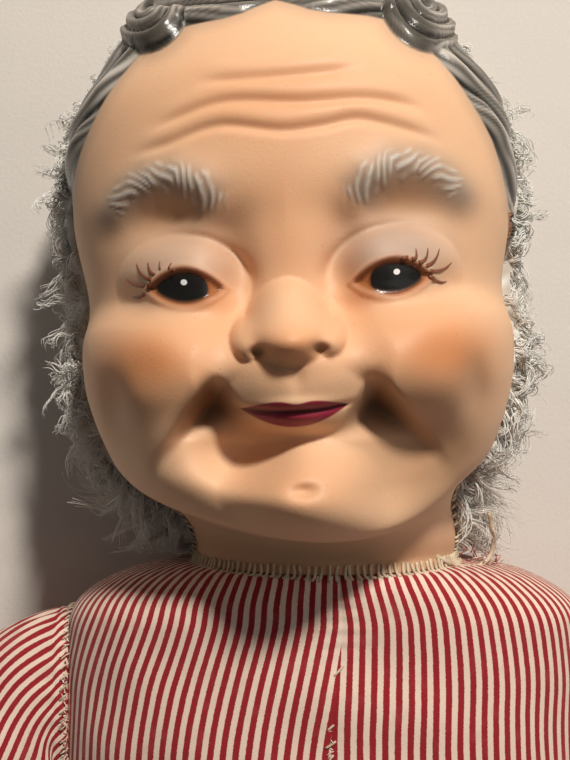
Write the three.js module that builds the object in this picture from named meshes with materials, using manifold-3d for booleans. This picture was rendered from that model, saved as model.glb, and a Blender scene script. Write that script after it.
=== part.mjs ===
// A stuffed grandmother doll with a moulded rubber face mask, lying on its back.
// Millimetres. +Z points up out of the face, +Y towards the crown, +X to the doll's own left.
// The origin is the middle of the flat of the back, on the surface that the doll lies on.
import * as THREE from 'three';
import { mergeVertices } from 'three/addons/utils/BufferGeometryUtils.js';
import Module from 'manifold-3d';

const wasm = await Module();
wasm.setup();

// Materials and fits
const CLEARANCE = 0.3; // between pieces that touch
const FABRIC = 1.2; // striped cotton with its seam allowance
const RUBBER = 3; // wall of the mask
const PILE = 6; // plush pile outside its backing
const BACKING = 2.5; // woven backing of the plush with the pile that is pressed flat
const THREAD = 0.8; // radius of the bundled sewing thread in a seam
const FLAT = 0.5; // depth of the flats where soft pieces meet the surface below

// Torso
const HIP_Y = -94; // hip seam
const NECK_Y = 85; // neck seam
const TORSO_DEPTH = 77;
const HIP_HALF_WIDTH = 57;
const WAIST_HALF_WIDTH = 71;
const ARMHOLE_X = 69; // plane of both armholes, from the middle
const ARMHOLE_Y = 45;
const ARMHOLE_Z = 40;
const ARMHOLE_RADIUS = 26;

// Neck, round where it is sewn to the torso
const NECK_RADIUS = 35.5;
const NECK_Z = 42; // axis of the neck above the surface below
const NECK_COLLAR = 4; // straight length above the seam

// Head, measured up from the neck seam
const HEAD_HEIGHT = 162;
const RIM_Z = 52; // plane where the mask meets the plush
const CHEEK_HALF_WIDTH = 56;
const FACE_DEPTH = 54; // from the rim to the middle of the face, without its features
const HEAD_ROLL = THREE.MathUtils.degToRad(2.7); // the head leans to its own right
const HEAD_SHIFT = -4.9; // sideways set of the head on the neck
const HEAD_TURN = THREE.MathUtils.degToRad(20); // the head rolls this far each way on the surface below
const LEAN_START = 5;
const LEAN_END = 24;

// Face: up from the neck seam (V), out from the middle (U), and how far the features stand out (OUT)
const FACE_SET = -1.9; // the features sit this far to one side of the mask
const EYE_V = 71;
const EYE_U = 24.5;
const LID_OUT = 6.2;
const LID_HALF_WIDTH = 15.5;
const LID_HALF_HEIGHT = 10.8;
const BROW_V = 97.3;
const BROW_U = 28.3;
const NOSE_V = 61.4;
const NOSE_OUT = 16;
const NOSE_HALF_WIDTH = 10;
const NOSE_HALF_HEIGHT = 9;
const WING_U = 8.2;
const CHEEK_V = 53.5;
const CHEEK_U = 33.5;
const CHEEK_OUT = 14;
const FOLD_U = 16.8; // top of the pit beside the mouth, where the cheek leaves the muzzle
const FOLD_V = 51;
const PIT_DEEP = 9.5;
const PIT_LOW_V = 32;
const MOUTH_V = 41.9;
const MOUTH_HALF_WIDTH = 11;
const MUZZLE_OUT = 7;
const CHIN_V = 22;
const CHIN_OUT = 14.5;
const JOWL_U = 31;
const JOWL_V = 29.5;
const JOWL_OUT = 1.5;
const JOWL_IN = 5; // the other jowl is sunken
const HAIRLINE_DROP = 21.5; // below the crown, at the middle
const HAIRLINE_BEND = 80; // the hairline falls by the square of the way out over this
const HAIR_OUT = 2.3;
const CURL_U = 31.5;
const CURL_DROP = 25.2; // below the crown
const CURL_RADIUS = 9.3;
const CURL_OUT = 6;
const HOLLOW_REACH = 7; // the inside of the mask keeps below the lowest of the face within this distance

// Arms
const ARM_LENGTH = 118; // from armhole to wrist, along the arm
const ARM_SPREAD = THREE.MathUtils.degToRad(30); // away from the side of the body
const ARM_BEND = 22; // length of the turn from the armhole into the arm
const ARM_DROP = THREE.MathUtils.degToRad(26); // slope of the shoulder
const SHOULDER_REACH = 18; // how far the arm stands off to the side
const WRIST_RADIUS = 17;
const HAND_LENGTH = 46;
const HAND_HALF_WIDTH = 19;
const HAND_HALF_THICKNESS = 12;
const THUMB_RADIUS = 7.5;
const THUMB_LENGTH = 13;

// Legs
const HIP_Z = 10; // hip seam above the surface below
const HIP_SEAM_RADIUS = 1.6;
const SEAM_LIP = 1; // half thickness of the cloth that is sewn flat at the hip
const LEG_U = 32; // middle of a leg
const LEG_LENGTH = 146; // from hip seam to ankle
const THIGH_HALF_WIDTH = 27;
const THIGH_DEPTH = 55;
const ANKLE_HALF_WIDTH = 19;
const ANKLE_DEPTH = 40;
const SLIPPER_LENGTH = 76;
const SLIPPER_HALF_WIDTH = 22;
const SLIPPER_HEIGHT = 31;
const SOLE = 3;
const SOLE_LIP = 1.5;

// Colours, from the photograph
const SKIN = { color: 0xe9b48a, roughness: 0.5, metalness: 0 };
const PLUSH = { color: 0xd9d2c2, roughness: 0.95, metalness: 0 };
const STRIPE = { color: 0xc98a80, roughness: 0.9, metalness: 0 };
const FILLING = { color: 0xe8e2d4, roughness: 1, metalness: 0 };
const THREAD_CREAM = { color: 0xd8c8a4, roughness: 0.8, metalness: 0 };
const MITT = { color: 0xdfae8c, roughness: 0.9, metalness: 0 };
const FELT = { color: 0x8c1626, roughness: 0.95, metalness: 0 };

const doll = new THREE.Group();

function addPiece(name, geometry, finish) {
  const mesh = new THREE.Mesh(geometry, new THREE.MeshStandardMaterial(finish));
  mesh.name = name;
  doll.add(mesh);
}

// Small maths

const smooth = THREE.MathUtils.smoothstep;
const point = (x, y, z) => new THREE.Vector3(x, y, z);
const steps = (count, make) => Array.from({ length: count + 1 }, (_, i) => make(i / count));
const signedPower = (value, power) => Math.sign(value) * Math.abs(value) ** power;

// A smooth curve through rows of numbers. The first number of a row is where it lies along the curve.
function rowsThrough(rows) {
  const columns = rows[0].length - 1;
  const places = rows.map((row) => row[0]);
  const numbers = rows.flatMap((row) => row.slice(1));
  const curve = new THREE.CubicInterpolant(places, numbers, columns, new Float64Array(columns));
  return (place) => Array.from(curve.evaluate(place));
}

// Solids

// Triangles across a closed section, laid like the rungs of a ladder between its two halves.
function capFaces(first, count) {
  const faces = [];
  for (let a = 0, b = count - 1; a + 1 < b; a++, b--) {
    faces.push(first + a, first + a + 1, first + b);
    if (a + 1 < b - 1) faces.push(first + a + 1, first + b - 1, first + b);
  }
  return faces;
}

// Skins closed sections of equal counts. The ends are capped, or the last section is joined to the first.
function loft(sections, loop = false) {
  const count = sections[0].length;
  const last = sections.length - 1;
  const faces = [];
  for (let i = 0; i < (loop ? last + 1 : last); i++) {
    const next = loop && i === last ? 0 : i + 1;
    for (let j = 0; j < count; j++) {
      const k = (j + 1) % count;
      const [a, b, c, d] = [i * count + j, i * count + k, next * count + k, next * count + j];
      const [near, far] = [sections[i], sections[next]];
      const isShorter = near[j].distanceTo(far[k]) < near[k].distanceTo(far[j]);
      faces.push(...(isShorter ? [a, b, c, a, c, d] : [a, b, d, b, c, d]));
    }
  }
  if (!loop) faces.push(...capFaces(0, count).reverse(), ...capFaces(last * count, count));
  const geometry = new THREE.BufferGeometry().setFromPoints(sections.flat());
  geometry.setIndex(faces);
  return signedVolume(geometry) < 0 ? flipped(geometry) : geometry;
}

function flipped(geometry) {
  const index = geometry.index.array;
  for (let i = 0; i < index.length; i += 3) [index[i], index[i + 1]] = [index[i + 1], index[i]];
  return geometry;
}

function signedVolume(geometry) {
  const place = geometry.getAttribute('position');
  const index = geometry.index.array;
  const corner = [point(), point(), point()];
  let volume = 0;
  for (let i = 0; i < index.length; i += 3) {
    corner.forEach((c, k) => c.fromBufferAttribute(place, index[i + k]));
    volume += corner[0].dot(corner[1].clone().cross(corner[2])) / 6;
  }
  return volume;
}

function solidOf(geometry) {
  const bare = geometry.clone();
  bare.deleteAttribute('normal');
  bare.deleteAttribute('uv');
  const merged = mergeVertices(bare, 1e-4);
  const vertProperties = new Float32Array(merged.getAttribute('position').array);
  const triVerts = new Uint32Array(merged.index.array);
  return new wasm.Manifold(new wasm.Mesh({ numProp: 3, vertProperties, triVerts }));
}

function geometryOf(solid) {
  const mesh = solid.getMesh();
  const geometry = new THREE.BufferGeometry();
  geometry.setAttribute('position', new THREE.BufferAttribute(mesh.vertProperties.slice(), 3));
  geometry.setIndex(new THREE.BufferAttribute(mesh.triVerts.slice(), 1));
  return geometry;
}

// A ring of thread: a small circle carried round a larger one in the plane of two directions.
function threadRing(centre, radius, across, along, sides = 5, around = 32) {
  const axis = across.clone().cross(along);
  const sections = Array.from({ length: around }, (_, k) => {
    const turn = (k / around) * 2 * Math.PI;
    const out = across.clone().multiplyScalar(Math.cos(turn)).addScaledVector(along, Math.sin(turn));
    return Array.from({ length: sides }, (_, i) => {
      const a = (i / sides) * 2 * Math.PI;
      return centre.clone().addScaledVector(out, radius + THREAD * Math.cos(a))
        .addScaledVector(axis, THREAD * Math.sin(a));
    });
  });
  return loft(sections, true);
}

// Face relief: how far the features stand out of the smooth front of the head.
// Both halves of the face are alike but for the jowls.

const hill = (du, dv, wide, tall) => Math.exp(-((du / wide) ** 2) - (dv / tall) ** 2);
const swell = (du, dv, wide, tall) => Math.exp(-(((du / wide) ** 2 + (dv / tall) ** 2) ** 1.5));
const dome = (du, dv, wide, tall) => Math.sqrt(Math.max(0, 1 - (du / wide) ** 2 - (dv / tall) ** 2));

function hairDepth(side, v) {
  const below = HEAD_HEIGHT - v;
  const edge = HAIRLINE_DROP + side ** 2 / HAIRLINE_BEND;
  const curl = dome(side - CURL_U, below - CURL_DROP, CURL_RADIUS, CURL_RADIUS);
  return Math.max(HAIR_OUT * smooth(edge - below, -0.2, 2.2), CURL_OUT * curl);
}

function noseDepth(side, v) {
  const ball = NOSE_OUT * dome(side, v - NOSE_V, NOSE_HALF_WIDTH, NOSE_HALF_HEIGHT);
  const wing = 0.5 * NOSE_OUT * dome(side - WING_U, v - NOSE_V + 3.8, 4.4, 4.6);
  return Math.max(ball, wing);
}

// How far a point lies past the fold, towards the cheek.
const pastFold = (side, v) => 0.78 * (side - FOLD_U) + 0.625 * (v - FOLD_V);

// The cheek ends at its fold, softly beside the nose and as a ledge over the pit beside the mouth.
function cheekDepth(side, v) {
  const soft = smooth(v, FOLD_V - 5, FOLD_V + 4);
  const overFold = smooth((pastFold(side, v) + 1 + 9 * soft) / (5.6 + 15 * soft), 0, 1);
  const ledge = smooth(EYE_V - v, 0, 9);
  return CHEEK_OUT * swell(side - CHEEK_U, v - CHEEK_V, 19, 15.5) * overFold * ledge;
}

// A wedge between the edge of the muzzle and the fold, open below.
function pitDepth(side, v) {
  const pastMuzzle = 0.812 * (side - FOLD_U - 3.2) - 0.584 * (v - FOLD_V);
  const tall = smooth(v, PIT_LOW_V, PIT_LOW_V + 9) * smooth(FOLD_V - v, -3, 3.5);
  return PIT_DEEP * smooth(pastMuzzle, -1.8, 3.8) * smooth(-pastFold(side, v), -3.6, 3) * tall;
}

function mouthDepth(side, v) {
  const line = v - MOUTH_V - 0.0095 * side ** 2;
  return MUZZLE_OUT * swell(side, v - MOUTH_V - 2.1, 16.5, v > MOUTH_V + 2.1 ? 10.5 : 13)
    - 1.4 * hill(0, line, 1, 1.2) * smooth(MOUTH_HALF_WIDTH + 3 - side, 0, 3)
    + 2 * hill(side, line + 2, 8.5, 2.3); // lower lip
}

function eyeDepth(side, v) {
  const eye = v - EYE_V;
  const brow = v - BROW_V + 0.0375 * (side - BROW_U) ** 2;
  return LID_OUT * dome(side - EYE_U, eye - 1.4, LID_HALF_WIDTH, LID_HALF_HEIGHT) * smooth(eye, -9, -1.5)
    - 5 * hill(side - EYE_U, eye - 16.5, 15, 6) // hollow between lid and brow
    - 5 * hill(side - EYE_U / 2, eye, 4.5, 8) // inner corner
    + 2.4 * hill(side - BROW_U, brow, 15, 5);
}

function featureDepth(side, v) {
  return eyeDepth(side, v) + noseDepth(side, v) + cheekDepth(side, v) - pitDepth(side, v) + mouthDepth(side, v)
    + CHIN_OUT * swell(side, v - CHIN_V, 14.5, 10.5)
    - 1.5 * hill(side, v - CHIN_V - 13.8, 10, 1.8) // crease under the lip
    - 2.2 * hill(side, v - CHIN_V - 2.4, 3.2, 1.6) // dimple in the chin
    - 3.4 * hill(side - CHEEK_U - 9, v - CHEEK_V + 8, 4.2, 7); // dent in the cheek
}

function faceRelief(u, v) {
  const across = u - FACE_SET;
  const side = Math.abs(across);
  const jowl = JOWL_OUT - (JOWL_OUT + JOWL_IN) * smooth(across, -8, 8);
  return featureDepth(side, v) + jowl * swell(side - JOWL_U, v - JOWL_V, 13, 10) + hairDepth(Math.abs(u), v);
}

function hollowRelief(u, v) {
  const near = steps(4, (t) => HOLLOW_REACH * (2 * t - 1));
  return Math.min(...near.flatMap((du) => near.map((dv) => faceRelief(u + du, v + dv))));
}

// Head sections from the neck seam to the crown: centre height v, rise at the sides, half width,
// height of the rim, front, back and the fullness of the section. Above the collar they are given as shares of
// the head's height, width and depth.
const section = (place, up, rise, wide, rim, out, back, full) => [
  place, up * HEAD_HEIGHT, rise * HEAD_HEIGHT, wide * CHEEK_HALF_WIDTH, rim * RIM_Z,
  RIM_Z + out * FACE_DEPTH, back * RIM_Z, full,
];
const NECK_FRONT = NECK_Z + NECK_RADIUS;
const NECK_BACK = NECK_Z - NECK_RADIUS;
const headRow = rowsThrough([
  [0, CLEARANCE, 0, NECK_RADIUS, NECK_Z, NECK_FRONT, NECK_BACK, 1],
  [1, NECK_COLLAR, 0, NECK_RADIUS, NECK_Z, NECK_FRONT, NECK_BACK, 1],
  section(2, 0.0586, 0.0309, 0.652, 0.885, 0.611, 0.077, 0.95),
  section(3, 0.0667, 0.071, 0.75, 0.942, 0.796, 0.038, 0.86),
  section(4, 0.0815, 0.0957, 0.866, 1, 0.907, 0, 0.8),
  section(5, 0.1296, 0.1019, 0.9375, 1, 0.963, -0.01, 0.78),
  section(6, 0.216, 0.0679, 0.986, 1, 0.972, -0.01, 0.8),
  section(7, 0.2778, 0.0432, 1, 1, 1, -0.01, 0.8),
  section(8, 0.3519, 0.0185, 1, 1, 1, -0.01, 0.8),
  section(9, 0.4383, 0, 0.964, 1, 0.963, -0.01, 0.8),
  section(10, 0.5679, 0, 1.018, 1, 1.019, -0.01, 0.8),
  section(11, 0.7222, -0.0123, 0.982, 1, 0.981, -0.01, 0.82),
  section(12, 0.8148, -0.0247, 0.848, 1, 0.833, 0.115, 0.86),
  section(13, 0.9012, -0.037, 0.711, 1, 0.593, 0.308, 0.9),
  section(14, 0.963, -0.037, 0.496, 1, 0.315, 0.596, 0.95),
  section(15, 1, -0.0123, 0.139, 1, 0.056, 0.923, 1),
]);
const CROWN = 15;
const INNER_CROWN = 13.6;

// The lowest that the back of the head may reach, so that it stays above the surface below while it turns.
function rollHeight(x) {
  const away = Math.abs(x);
  const touch = NECK_Z * Math.sin(HEAD_TURN);
  if (away < touch) return NECK_Z - Math.sqrt(NECK_Z ** 2 - away ** 2);
  return NECK_Z - (NECK_Z - away * Math.sin(HEAD_TURN)) / Math.cos(HEAD_TURN);
}

// Leans the head on its neck: a turn about the neck seam and a sideways set that grow from the collar up.
function lean(p, inset = 0) {
  const share = smooth(p.y, LEAN_START, LEAN_END);
  const c = Math.cos(HEAD_ROLL * share);
  const s = Math.sin(HEAD_ROLL * share);
  const x = p.x * c - p.y * s + HEAD_SHIFT * share;
  return point(x, p.x * s + p.y * c + NECK_Y, Math.max(p.z, rollHeight(x) + inset));
}

// Front of the head at a row and an angle, where 0 is the middle and +-90 degrees the rim.
function frontPoint(row, angle, inset) {
  const [v, rise, width, rim, front, , full] = headRow(row);
  const across = Math.sin(angle);
  const facing = Math.max(0, Math.cos(angle));
  const height = v + rise * across ** 2;
  const fade = smooth(facing, 0.02, 0.4) * smooth(row, 2, 4);
  const relief = (inset > 0 ? hollowRelief : faceRelief)(width * across, height) * fade;
  const out = Math.max(0, front - inset - rim);
  return point((width - inset) * across, height, rim + (out * facing ** full) + relief);
}

// Back of the head at a row and an angle, where 0 is the seam down the middle.
function backPoint(row, angle, grow) {
  const [v, rise, width, rim, , back, full] = headRow(row);
  const across = Math.sin(angle);
  const facing = Math.max(0, Math.cos(angle));
  const pile = grow > 0 ? grow * smooth(v, NECK_COLLAR, NECK_COLLAR + 14) : grow;
  const depth = Math.max(0, rim - CLEARANCE - back + Math.min(0, grow));
  const z = rim - CLEARANCE - depth * facing ** full;
  return point((width + pile) * across, v + rise * across ** 2, Math.max(z, Math.max(0, -grow)));
}

const QUARTER = Math.PI / 2;

function frontArc(row, count, inset, crowd = 0.25) {
  return steps(count, (t) => {
    const s = 2 * t - 1;
    return frontPoint(row, QUARTER * ((1 - crowd) * s + crowd * s ** 3), inset);
  });
}

// Rows of the outside of the mask, closer from the chin to the brow
const outerRows = [
  ...steps(5, (t) => 2 * t),
  ...steps(34, (t) => THREE.MathUtils.lerp(2.2, 10.5, t)),
  ...steps(12, (t) => THREE.MathUtils.lerp(10.9, CROWN, t)),
];
const OUTER_STEPS = 40; // from rim to rim
const innerRows = steps(22, (t) => INNER_CROWN * t);
const INNER_STEPS = 18; // from rim to rim inside the mask
const BACK_STEPS = 8; // from the middle of the back to the rim

function faceMask() {
  const outside = loft(outerRows.map((row) => frontArc(row, OUTER_STEPS, 0).map((p) => lean(p))));
  const inside = innerRows.map((row) => {
    const arc = frontArc(row, INNER_STEPS, RUBBER);
    const floor = [arc.at(-1), arc[0]].map((p) => point(p.x, p.y, 0));
    return [...arc, ...floor].map((p) => lean(p));
  });
  const below = inside[0].map((p) => p.clone().add(point(0, -2 * RUBBER, 0)));
  const hollow = loft([below, ...inside]);
  return geometryOf(solidOf(outside).subtract(solidOf(hollow)));
}

function headStuffing() {
  const shrink = -(BACKING + CLEARANCE);
  return loft(innerRows.slice(0, -2).map((row) => {
    const front = frontArc(row, INNER_STEPS, RUBBER);
    const reach = front.at(-1).x - CLEARANCE;
    const back = steps(2 * BACK_STEPS, (t) => backPoint(row, QUARTER * (1 - 2 * t), shrink)).slice(1, -1);
    front.forEach((p) => {
      p.z -= CLEARANCE;
    });
    const section = [...front, ...back];
    section.forEach((p) => {
      p.x = THREE.MathUtils.clamp(p.x, -reach, reach);
    });
    return section.map((p) => lean(p, BACKING + CLEARANCE));
  }));
}

function plushHalf(side) {
  const rows = [...innerRows, (INNER_CROWN + CROWN) / 2, CROWN];
  const half = (row, grow) => steps(BACK_STEPS, (t) => {
    const p = backPoint(row, QUARTER * (1 - t), grow);
    p.x = side * Math.max(p.x, CLEARANCE / 2);
    return p;
  });
  return loft(rows.map((row) => {
    const outside = half(row, PILE).map((p) => lean(p));
    const inside = half(row, -BACKING).map((p) => lean(p, BACKING));
    return [...outside, ...inside.reverse()];
  }));
}

// Torso sections from the hip seam to the neck seam: half width, back and front heights.
const TORSO_LIP_Y = HIP_Y + 2;
const SHOULDER_TOP = NECK_Y - 1;
const torsoAt = (share) => THREE.MathUtils.lerp(TORSO_LIP_Y, NECK_Y, share);
const shoulderAt = (share) => THREE.MathUtils.lerp(ARMHOLE_Y, NECK_Y, share);
const torsoRow = rowsThrough([
  [TORSO_LIP_Y, HIP_HALF_WIDTH, HIP_Z - SEAM_LIP, HIP_Z + SEAM_LIP],
  [torsoAt(0.028), HIP_HALF_WIDTH + 1, HIP_Z - 3.5, HIP_Z + 3],
  [torsoAt(0.124), HIP_HALF_WIDTH + 6, -FLAT, 0.416 * TORSO_DEPTH],
  [torsoAt(0.26), WAIST_HALF_WIDTH - 4, -FLAT, 0.805 * TORSO_DEPTH],
  [torsoAt(0.407), WAIST_HALF_WIDTH, -FLAT, TORSO_DEPTH],
  [torsoAt(0.588), WAIST_HALF_WIDTH, -FLAT, TORSO_DEPTH + 2],
  [ARMHOLE_Y, ARMHOLE_X + 2, -FLAT, TORSO_DEPTH + 2],
  [shoulderAt(0.45), ARMHOLE_X + 1.5, 0, TORSO_DEPTH + 1],
  [shoulderAt(0.725), ARMHOLE_X - 1.5, 0.46 * NECK_BACK, TORSO_DEPTH + 1],
  [shoulderAt(0.9), THREE.MathUtils.lerp(NECK_RADIUS, ARMHOLE_X, 0.61), 0.85 * NECK_BACK, NECK_FRONT + 1],
  [SHOULDER_TOP, THREE.MathUtils.lerp(NECK_RADIUS, ARMHOLE_X, 0.24), 0.95 * NECK_BACK, NECK_FRONT + 0.3],
  [NECK_Y, NECK_RADIUS, NECK_BACK, NECK_FRONT],
]);
const torsoRows = [
  ...steps(16, (t) => THREE.MathUtils.lerp(TORSO_LIP_Y, shoulderAt(0.7), t)),
  shoulderAt(0.8), shoulderAt(0.9), SHOULDER_TOP, NECK_Y,
];
const FRONT_FULLNESS = 0.85;
const BACK_FULLNESS = 0.6;

// A point of the torso, with sweep from -1 at the right side seam to 1 at the left, on the front or the back.
function torsoPoint(y, sweep, onFront, inset) {
  const [width, back, front] = torsoRow(y);
  const middle = THREE.MathUtils.lerp((back + front) / 2, NECK_Z, smooth(y, ARMHOLE_Y, SHOULDER_TOP));
  const round = smooth(y, shoulderAt(0.65), NECK_Y);
  const full = THREE.MathUtils.lerp(onFront ? FRONT_FULLNESS : BACK_FULLNESS, 1, round);
  const angle = QUARTER * signedPower(sweep, 1 + 0.4 * (onFront ? 0 : 1 - round));
  const x = (width - inset) * signedPower(Math.sin(angle), full);
  const seam = CLEARANCE / 2;
  const rise = Math.max(0, Math.cos(angle)) ** full;
  const lift = onFront
    ? Math.max(seam, (front - middle) * rise - inset)
    : -Math.max(seam, (middle - back) * rise - inset);
  const side = ARMHOLE_X - inset;
  return point(THREE.MathUtils.clamp(x, -side, side), y, Math.max(middle + lift, inset));
}

function torsoPanel(onFront, from, to) {
  const middleGap = CLEARANCE / 2;
  const arc = (y, inset) => steps(onFront ? 8 : 14, (t) => {
    const p = torsoPoint(y, THREE.MathUtils.lerp(from, to, t), onFront, inset);
    if (from === 0) p.x = Math.max(p.x, middleGap);
    if (to === 0) p.x = Math.min(p.x, -middleGap);
    return p;
  });
  return loft(torsoRows.map((y) => [...arc(y, 0), ...arc(y, FABRIC).reverse()]));
}

function torsoStuffing() {
  const inset = FABRIC + CLEARANCE;
  const rows = torsoRows.slice(2);
  return loft(rows.map((y) => [
    ...steps(16, (t) => torsoPoint(y, 1 - 2 * t, true, inset)).slice(0, -1),
    ...steps(14, (t) => torsoPoint(y, 2 * t - 1, false, inset)).slice(0, -1),
  ]));
}

// Arms: a bent tube from the round armhole down to the wrist, with a mitt hand.

const UP = point(0, 0, 1);
const armDirection = point(Math.sin(ARM_SPREAD), -Math.cos(ARM_SPREAD), 0);
const SLEEVE_X = ARMHOLE_X + 2 * THREAD + 4 * CLEARANCE; // the sleeve hangs clear of the thread round its seam

function armLine() {
  const root = point(SLEEVE_X, ARMHOLE_Y, ARMHOLE_Z);
  const shoulder = point(Math.cos(ARM_DROP), -Math.sin(ARM_DROP), 0).multiplyScalar(ARM_BEND).add(root);
  const wrist = root.clone().addScaledVector(armDirection, ARM_LENGTH - SHOULDER_REACH);
  wrist.x += SHOULDER_REACH;
  wrist.z = WRIST_RADIUS;
  const beforeWrist = wrist.clone().addScaledVector(armDirection, -ARM_LENGTH / 3);
  return new THREE.CubicBezierCurve3(root, shoulder, beforeWrist, wrist);
}

const armRadius = rowsThrough([
  [0, ARMHOLE_RADIUS], [0.18, ARMHOLE_RADIUS], [0.5, ARMHOLE_RADIUS - 3], [0.85, WRIST_RADIUS + 1.5],
  [1, WRIST_RADIUS],
]);
const ARM_SIDES = 16;
const ARM_TURNED = 0.12; // share of the arm after which its sections stand square to it
const armStops = [0, 0.06, 0.12, 0.2, 0.32, 0.45, 0.6, 0.74, 0.88, 1];

function armRing(curve, t, inset) {
  const centre = curve.getPoint(t);
  const ahead = point(1, 0, 0).lerp(curve.getTangent(t), smooth(t, 0, ARM_TURNED)).normalize();
  const up = UP.clone().addScaledVector(ahead, -UP.dot(ahead)).normalize();
  const across = up.clone().cross(ahead);
  const radius = armRadius(t)[0] - inset;
  return Array.from({ length: ARM_SIDES }, (_, i) => {
    const a = (i / ARM_SIDES) * 2 * Math.PI;
    const p = centre.clone().addScaledVector(across, radius * Math.cos(a))
      .addScaledVector(up, radius * Math.sin(a));
    p.z = Math.max(p.z, inset);
    p.x = Math.max(p.x, SLEEVE_X + inset);
    return p;
  });
}

// Sections from the armhole to the wrist. The first stands in the seam, inside the ring of thread.
function armRings(inset) {
  const curve = armLine();
  const rings = armStops.map((t) => armRing(curve, t, inset));
  return [rings[0].map((p) => point(ARMHOLE_X + CLEARANCE, p.y, p.z)), ...rings];
}

function mirrored(geometry, side) {
  if (side > 0) return geometry;
  const place = geometry.getAttribute('position');
  for (let i = 0; i < place.count; i++) place.setX(i, -place.getX(i));
  return flipped(geometry);
}

function armCover(side) {
  return mirrored(loft([...armRings(0), ...armRings(FABRIC).reverse()], true), side);
}

function armStuffing(side) {
  return mirrored(loft(armRings(FABRIC + CLEARANCE)), side);
}

// A mitt: an oval palm that swells past the wrist, and a thumb joined to its inner edge.
function hand(side) {
  const curve = armLine();
  const wrist = curve.getPoint(1);
  const ahead = curve.getTangent(1);
  const across = UP.clone().cross(ahead).normalize();
  const up = ahead.clone().cross(across).normalize();
  const shape = rowsThrough([
    [0, WRIST_RADIUS - FABRIC, WRIST_RADIUS - FABRIC], [0.2, WRIST_RADIUS, HAND_HALF_THICKNESS + 2],
    [0.55, HAND_HALF_WIDTH, HAND_HALF_THICKNESS], [0.85, HAND_HALF_WIDTH * 0.8, HAND_HALF_THICKNESS * 0.8],
    [1, HAND_HALF_WIDTH * 0.3, HAND_HALF_THICKNESS * 0.3],
  ]);
  const lay = (p) => point(p.x, p.y, Math.max(p.z, 0));
  const palm = loft([0, 0.1, 0.25, 0.42, 0.6, 0.76, 0.89, 0.97, 1].map((t) => {
    const [wide, thick] = shape(t);
    const centre = wrist.clone().addScaledVector(ahead, CLEARANCE + t * HAND_LENGTH);
    centre.z = THREE.MathUtils.lerp(centre.z, HAND_HALF_THICKNESS - FLAT, smooth(t, 0, 0.5));
    return Array.from({ length: 16 }, (_, i) => {
      const a = (i / 16) * 2 * Math.PI;
      const side = centre.clone().addScaledVector(across, wide * Math.cos(a));
      return lay(side.addScaledVector(up, thick * Math.sin(a)));
    });
  }));
  const thumb = new THREE.SphereGeometry(1, 14, 10);
  const reach = across.clone().addScaledVector(ahead, 0.9).normalize();
  const turn = new THREE.Matrix4().makeBasis(reach, UP.clone().cross(reach), UP);
  thumb.scale(THUMB_LENGTH, THUMB_RADIUS, THUMB_RADIUS).applyMatrix4(turn);
  const seat = wrist.clone().addScaledVector(ahead, HAND_LENGTH * 0.42)
    .addScaledVector(across, HAND_HALF_WIDTH - 3);
  thumb.translate(seat.x, seat.y, HAND_HALF_THICKNESS);
  return mirrored(geometryOf(solidOf(palm).add(solidOf(thumb))), side);
}

// Legs: flat where they are sewn into the hip seam, so that they can fold forward, then a round stuffed tube.

const LEG_START = HIP_Y - 2;
const ANKLE_Y = HIP_Y - LEG_LENGTH;
const LEG_REACH = LEG_LENGTH - 2;
// Leg sections, placed by the share of the leg: half width, back and front heights.
const legRow = rowsThrough([
  [0, THIGH_HALF_WIDTH - 2, HIP_Z - SEAM_LIP, HIP_Z + SEAM_LIP],
  [0.028, THIGH_HALF_WIDTH - 2, HIP_Z - 3, HIP_Z + 2.5],
  [0.125, THIGH_HALF_WIDTH - 0.5, -FLAT, 0.455 * THIGH_DEPTH],
  [0.25, THIGH_HALF_WIDTH, -FLAT, 0.782 * THIGH_DEPTH],
  [0.39, THIGH_HALF_WIDTH, -FLAT, THIGH_DEPTH],
  [0.667, (THIGH_HALF_WIDTH + ANKLE_HALF_WIDTH) / 2, -FLAT, (THIGH_DEPTH + ANKLE_DEPTH) / 2],
  [1, ANKLE_HALF_WIDTH, -FLAT, ANKLE_DEPTH],
]);
const LEG_SIDES = 16;
const legStops = [0, 0.028, 0.07, 0.125, 0.195, 0.28, 0.375, 0.52, 0.695, 0.86, 1]; // shares of the leg
const LEG_FULLNESS = 0.9;

function legRing(share, inset) {
  const [width, back, front] = legRow(share);
  const middle = (back + front) / 2;
  const depth = Math.max((front - back) / 2 - inset, 0.2);
  return Array.from({ length: LEG_SIDES }, (_, i) => {
    const a = (i / LEG_SIDES) * 2 * Math.PI;
    const x = (width - inset) * signedPower(Math.cos(a), LEG_FULLNESS);
    const z = middle + depth * signedPower(Math.sin(a), LEG_FULLNESS);
    return point(LEG_U + x, LEG_START - share * LEG_REACH, Math.max(z, inset));
  });
}

function legCover(side) {
  const outside = legStops.map((share) => legRing(share, 0));
  const inside = legStops.slice(2).map((share) => legRing(share, FABRIC)).reverse();
  return mirrored(loft([...outside, ...inside]), side);
}

function legStuffing(side) {
  return mirrored(loft(legStops.slice(3).map((share) => legRing(share, FABRIC + CLEARANCE))), side);
}

// A felt slipper: heel on the surface below, toe up, with a separate flat sole.
function slipperRing(z, near, far, wide) {
  const middle = (near + far) / 2;
  return Array.from({ length: 16 }, (_, i) => {
    const a = (i / 16) * 2 * Math.PI;
    return point(LEG_U + wide * signedPower(Math.cos(a), 0.85), middle + ((near - far) / 2)
      * signedPower(Math.sin(a), 0.85), z);
  });
}

const slipperRow = rowsThrough([
  [0, 0.5, 0.75], [0.06, 0.75, 0.9], [0.25, 1, 0.98], [0.5, 1, 0.98],
  [0.68, 0.72, 1], [0.88, 0.52, 0.88], [1, 0.25, 0.5],
]);
const SLIPPER_TOP_Y = ANKLE_Y - CLEARANCE;
const SLIPPER_SOLE_Y = SLIPPER_TOP_Y - SLIPPER_HEIGHT;

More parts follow.
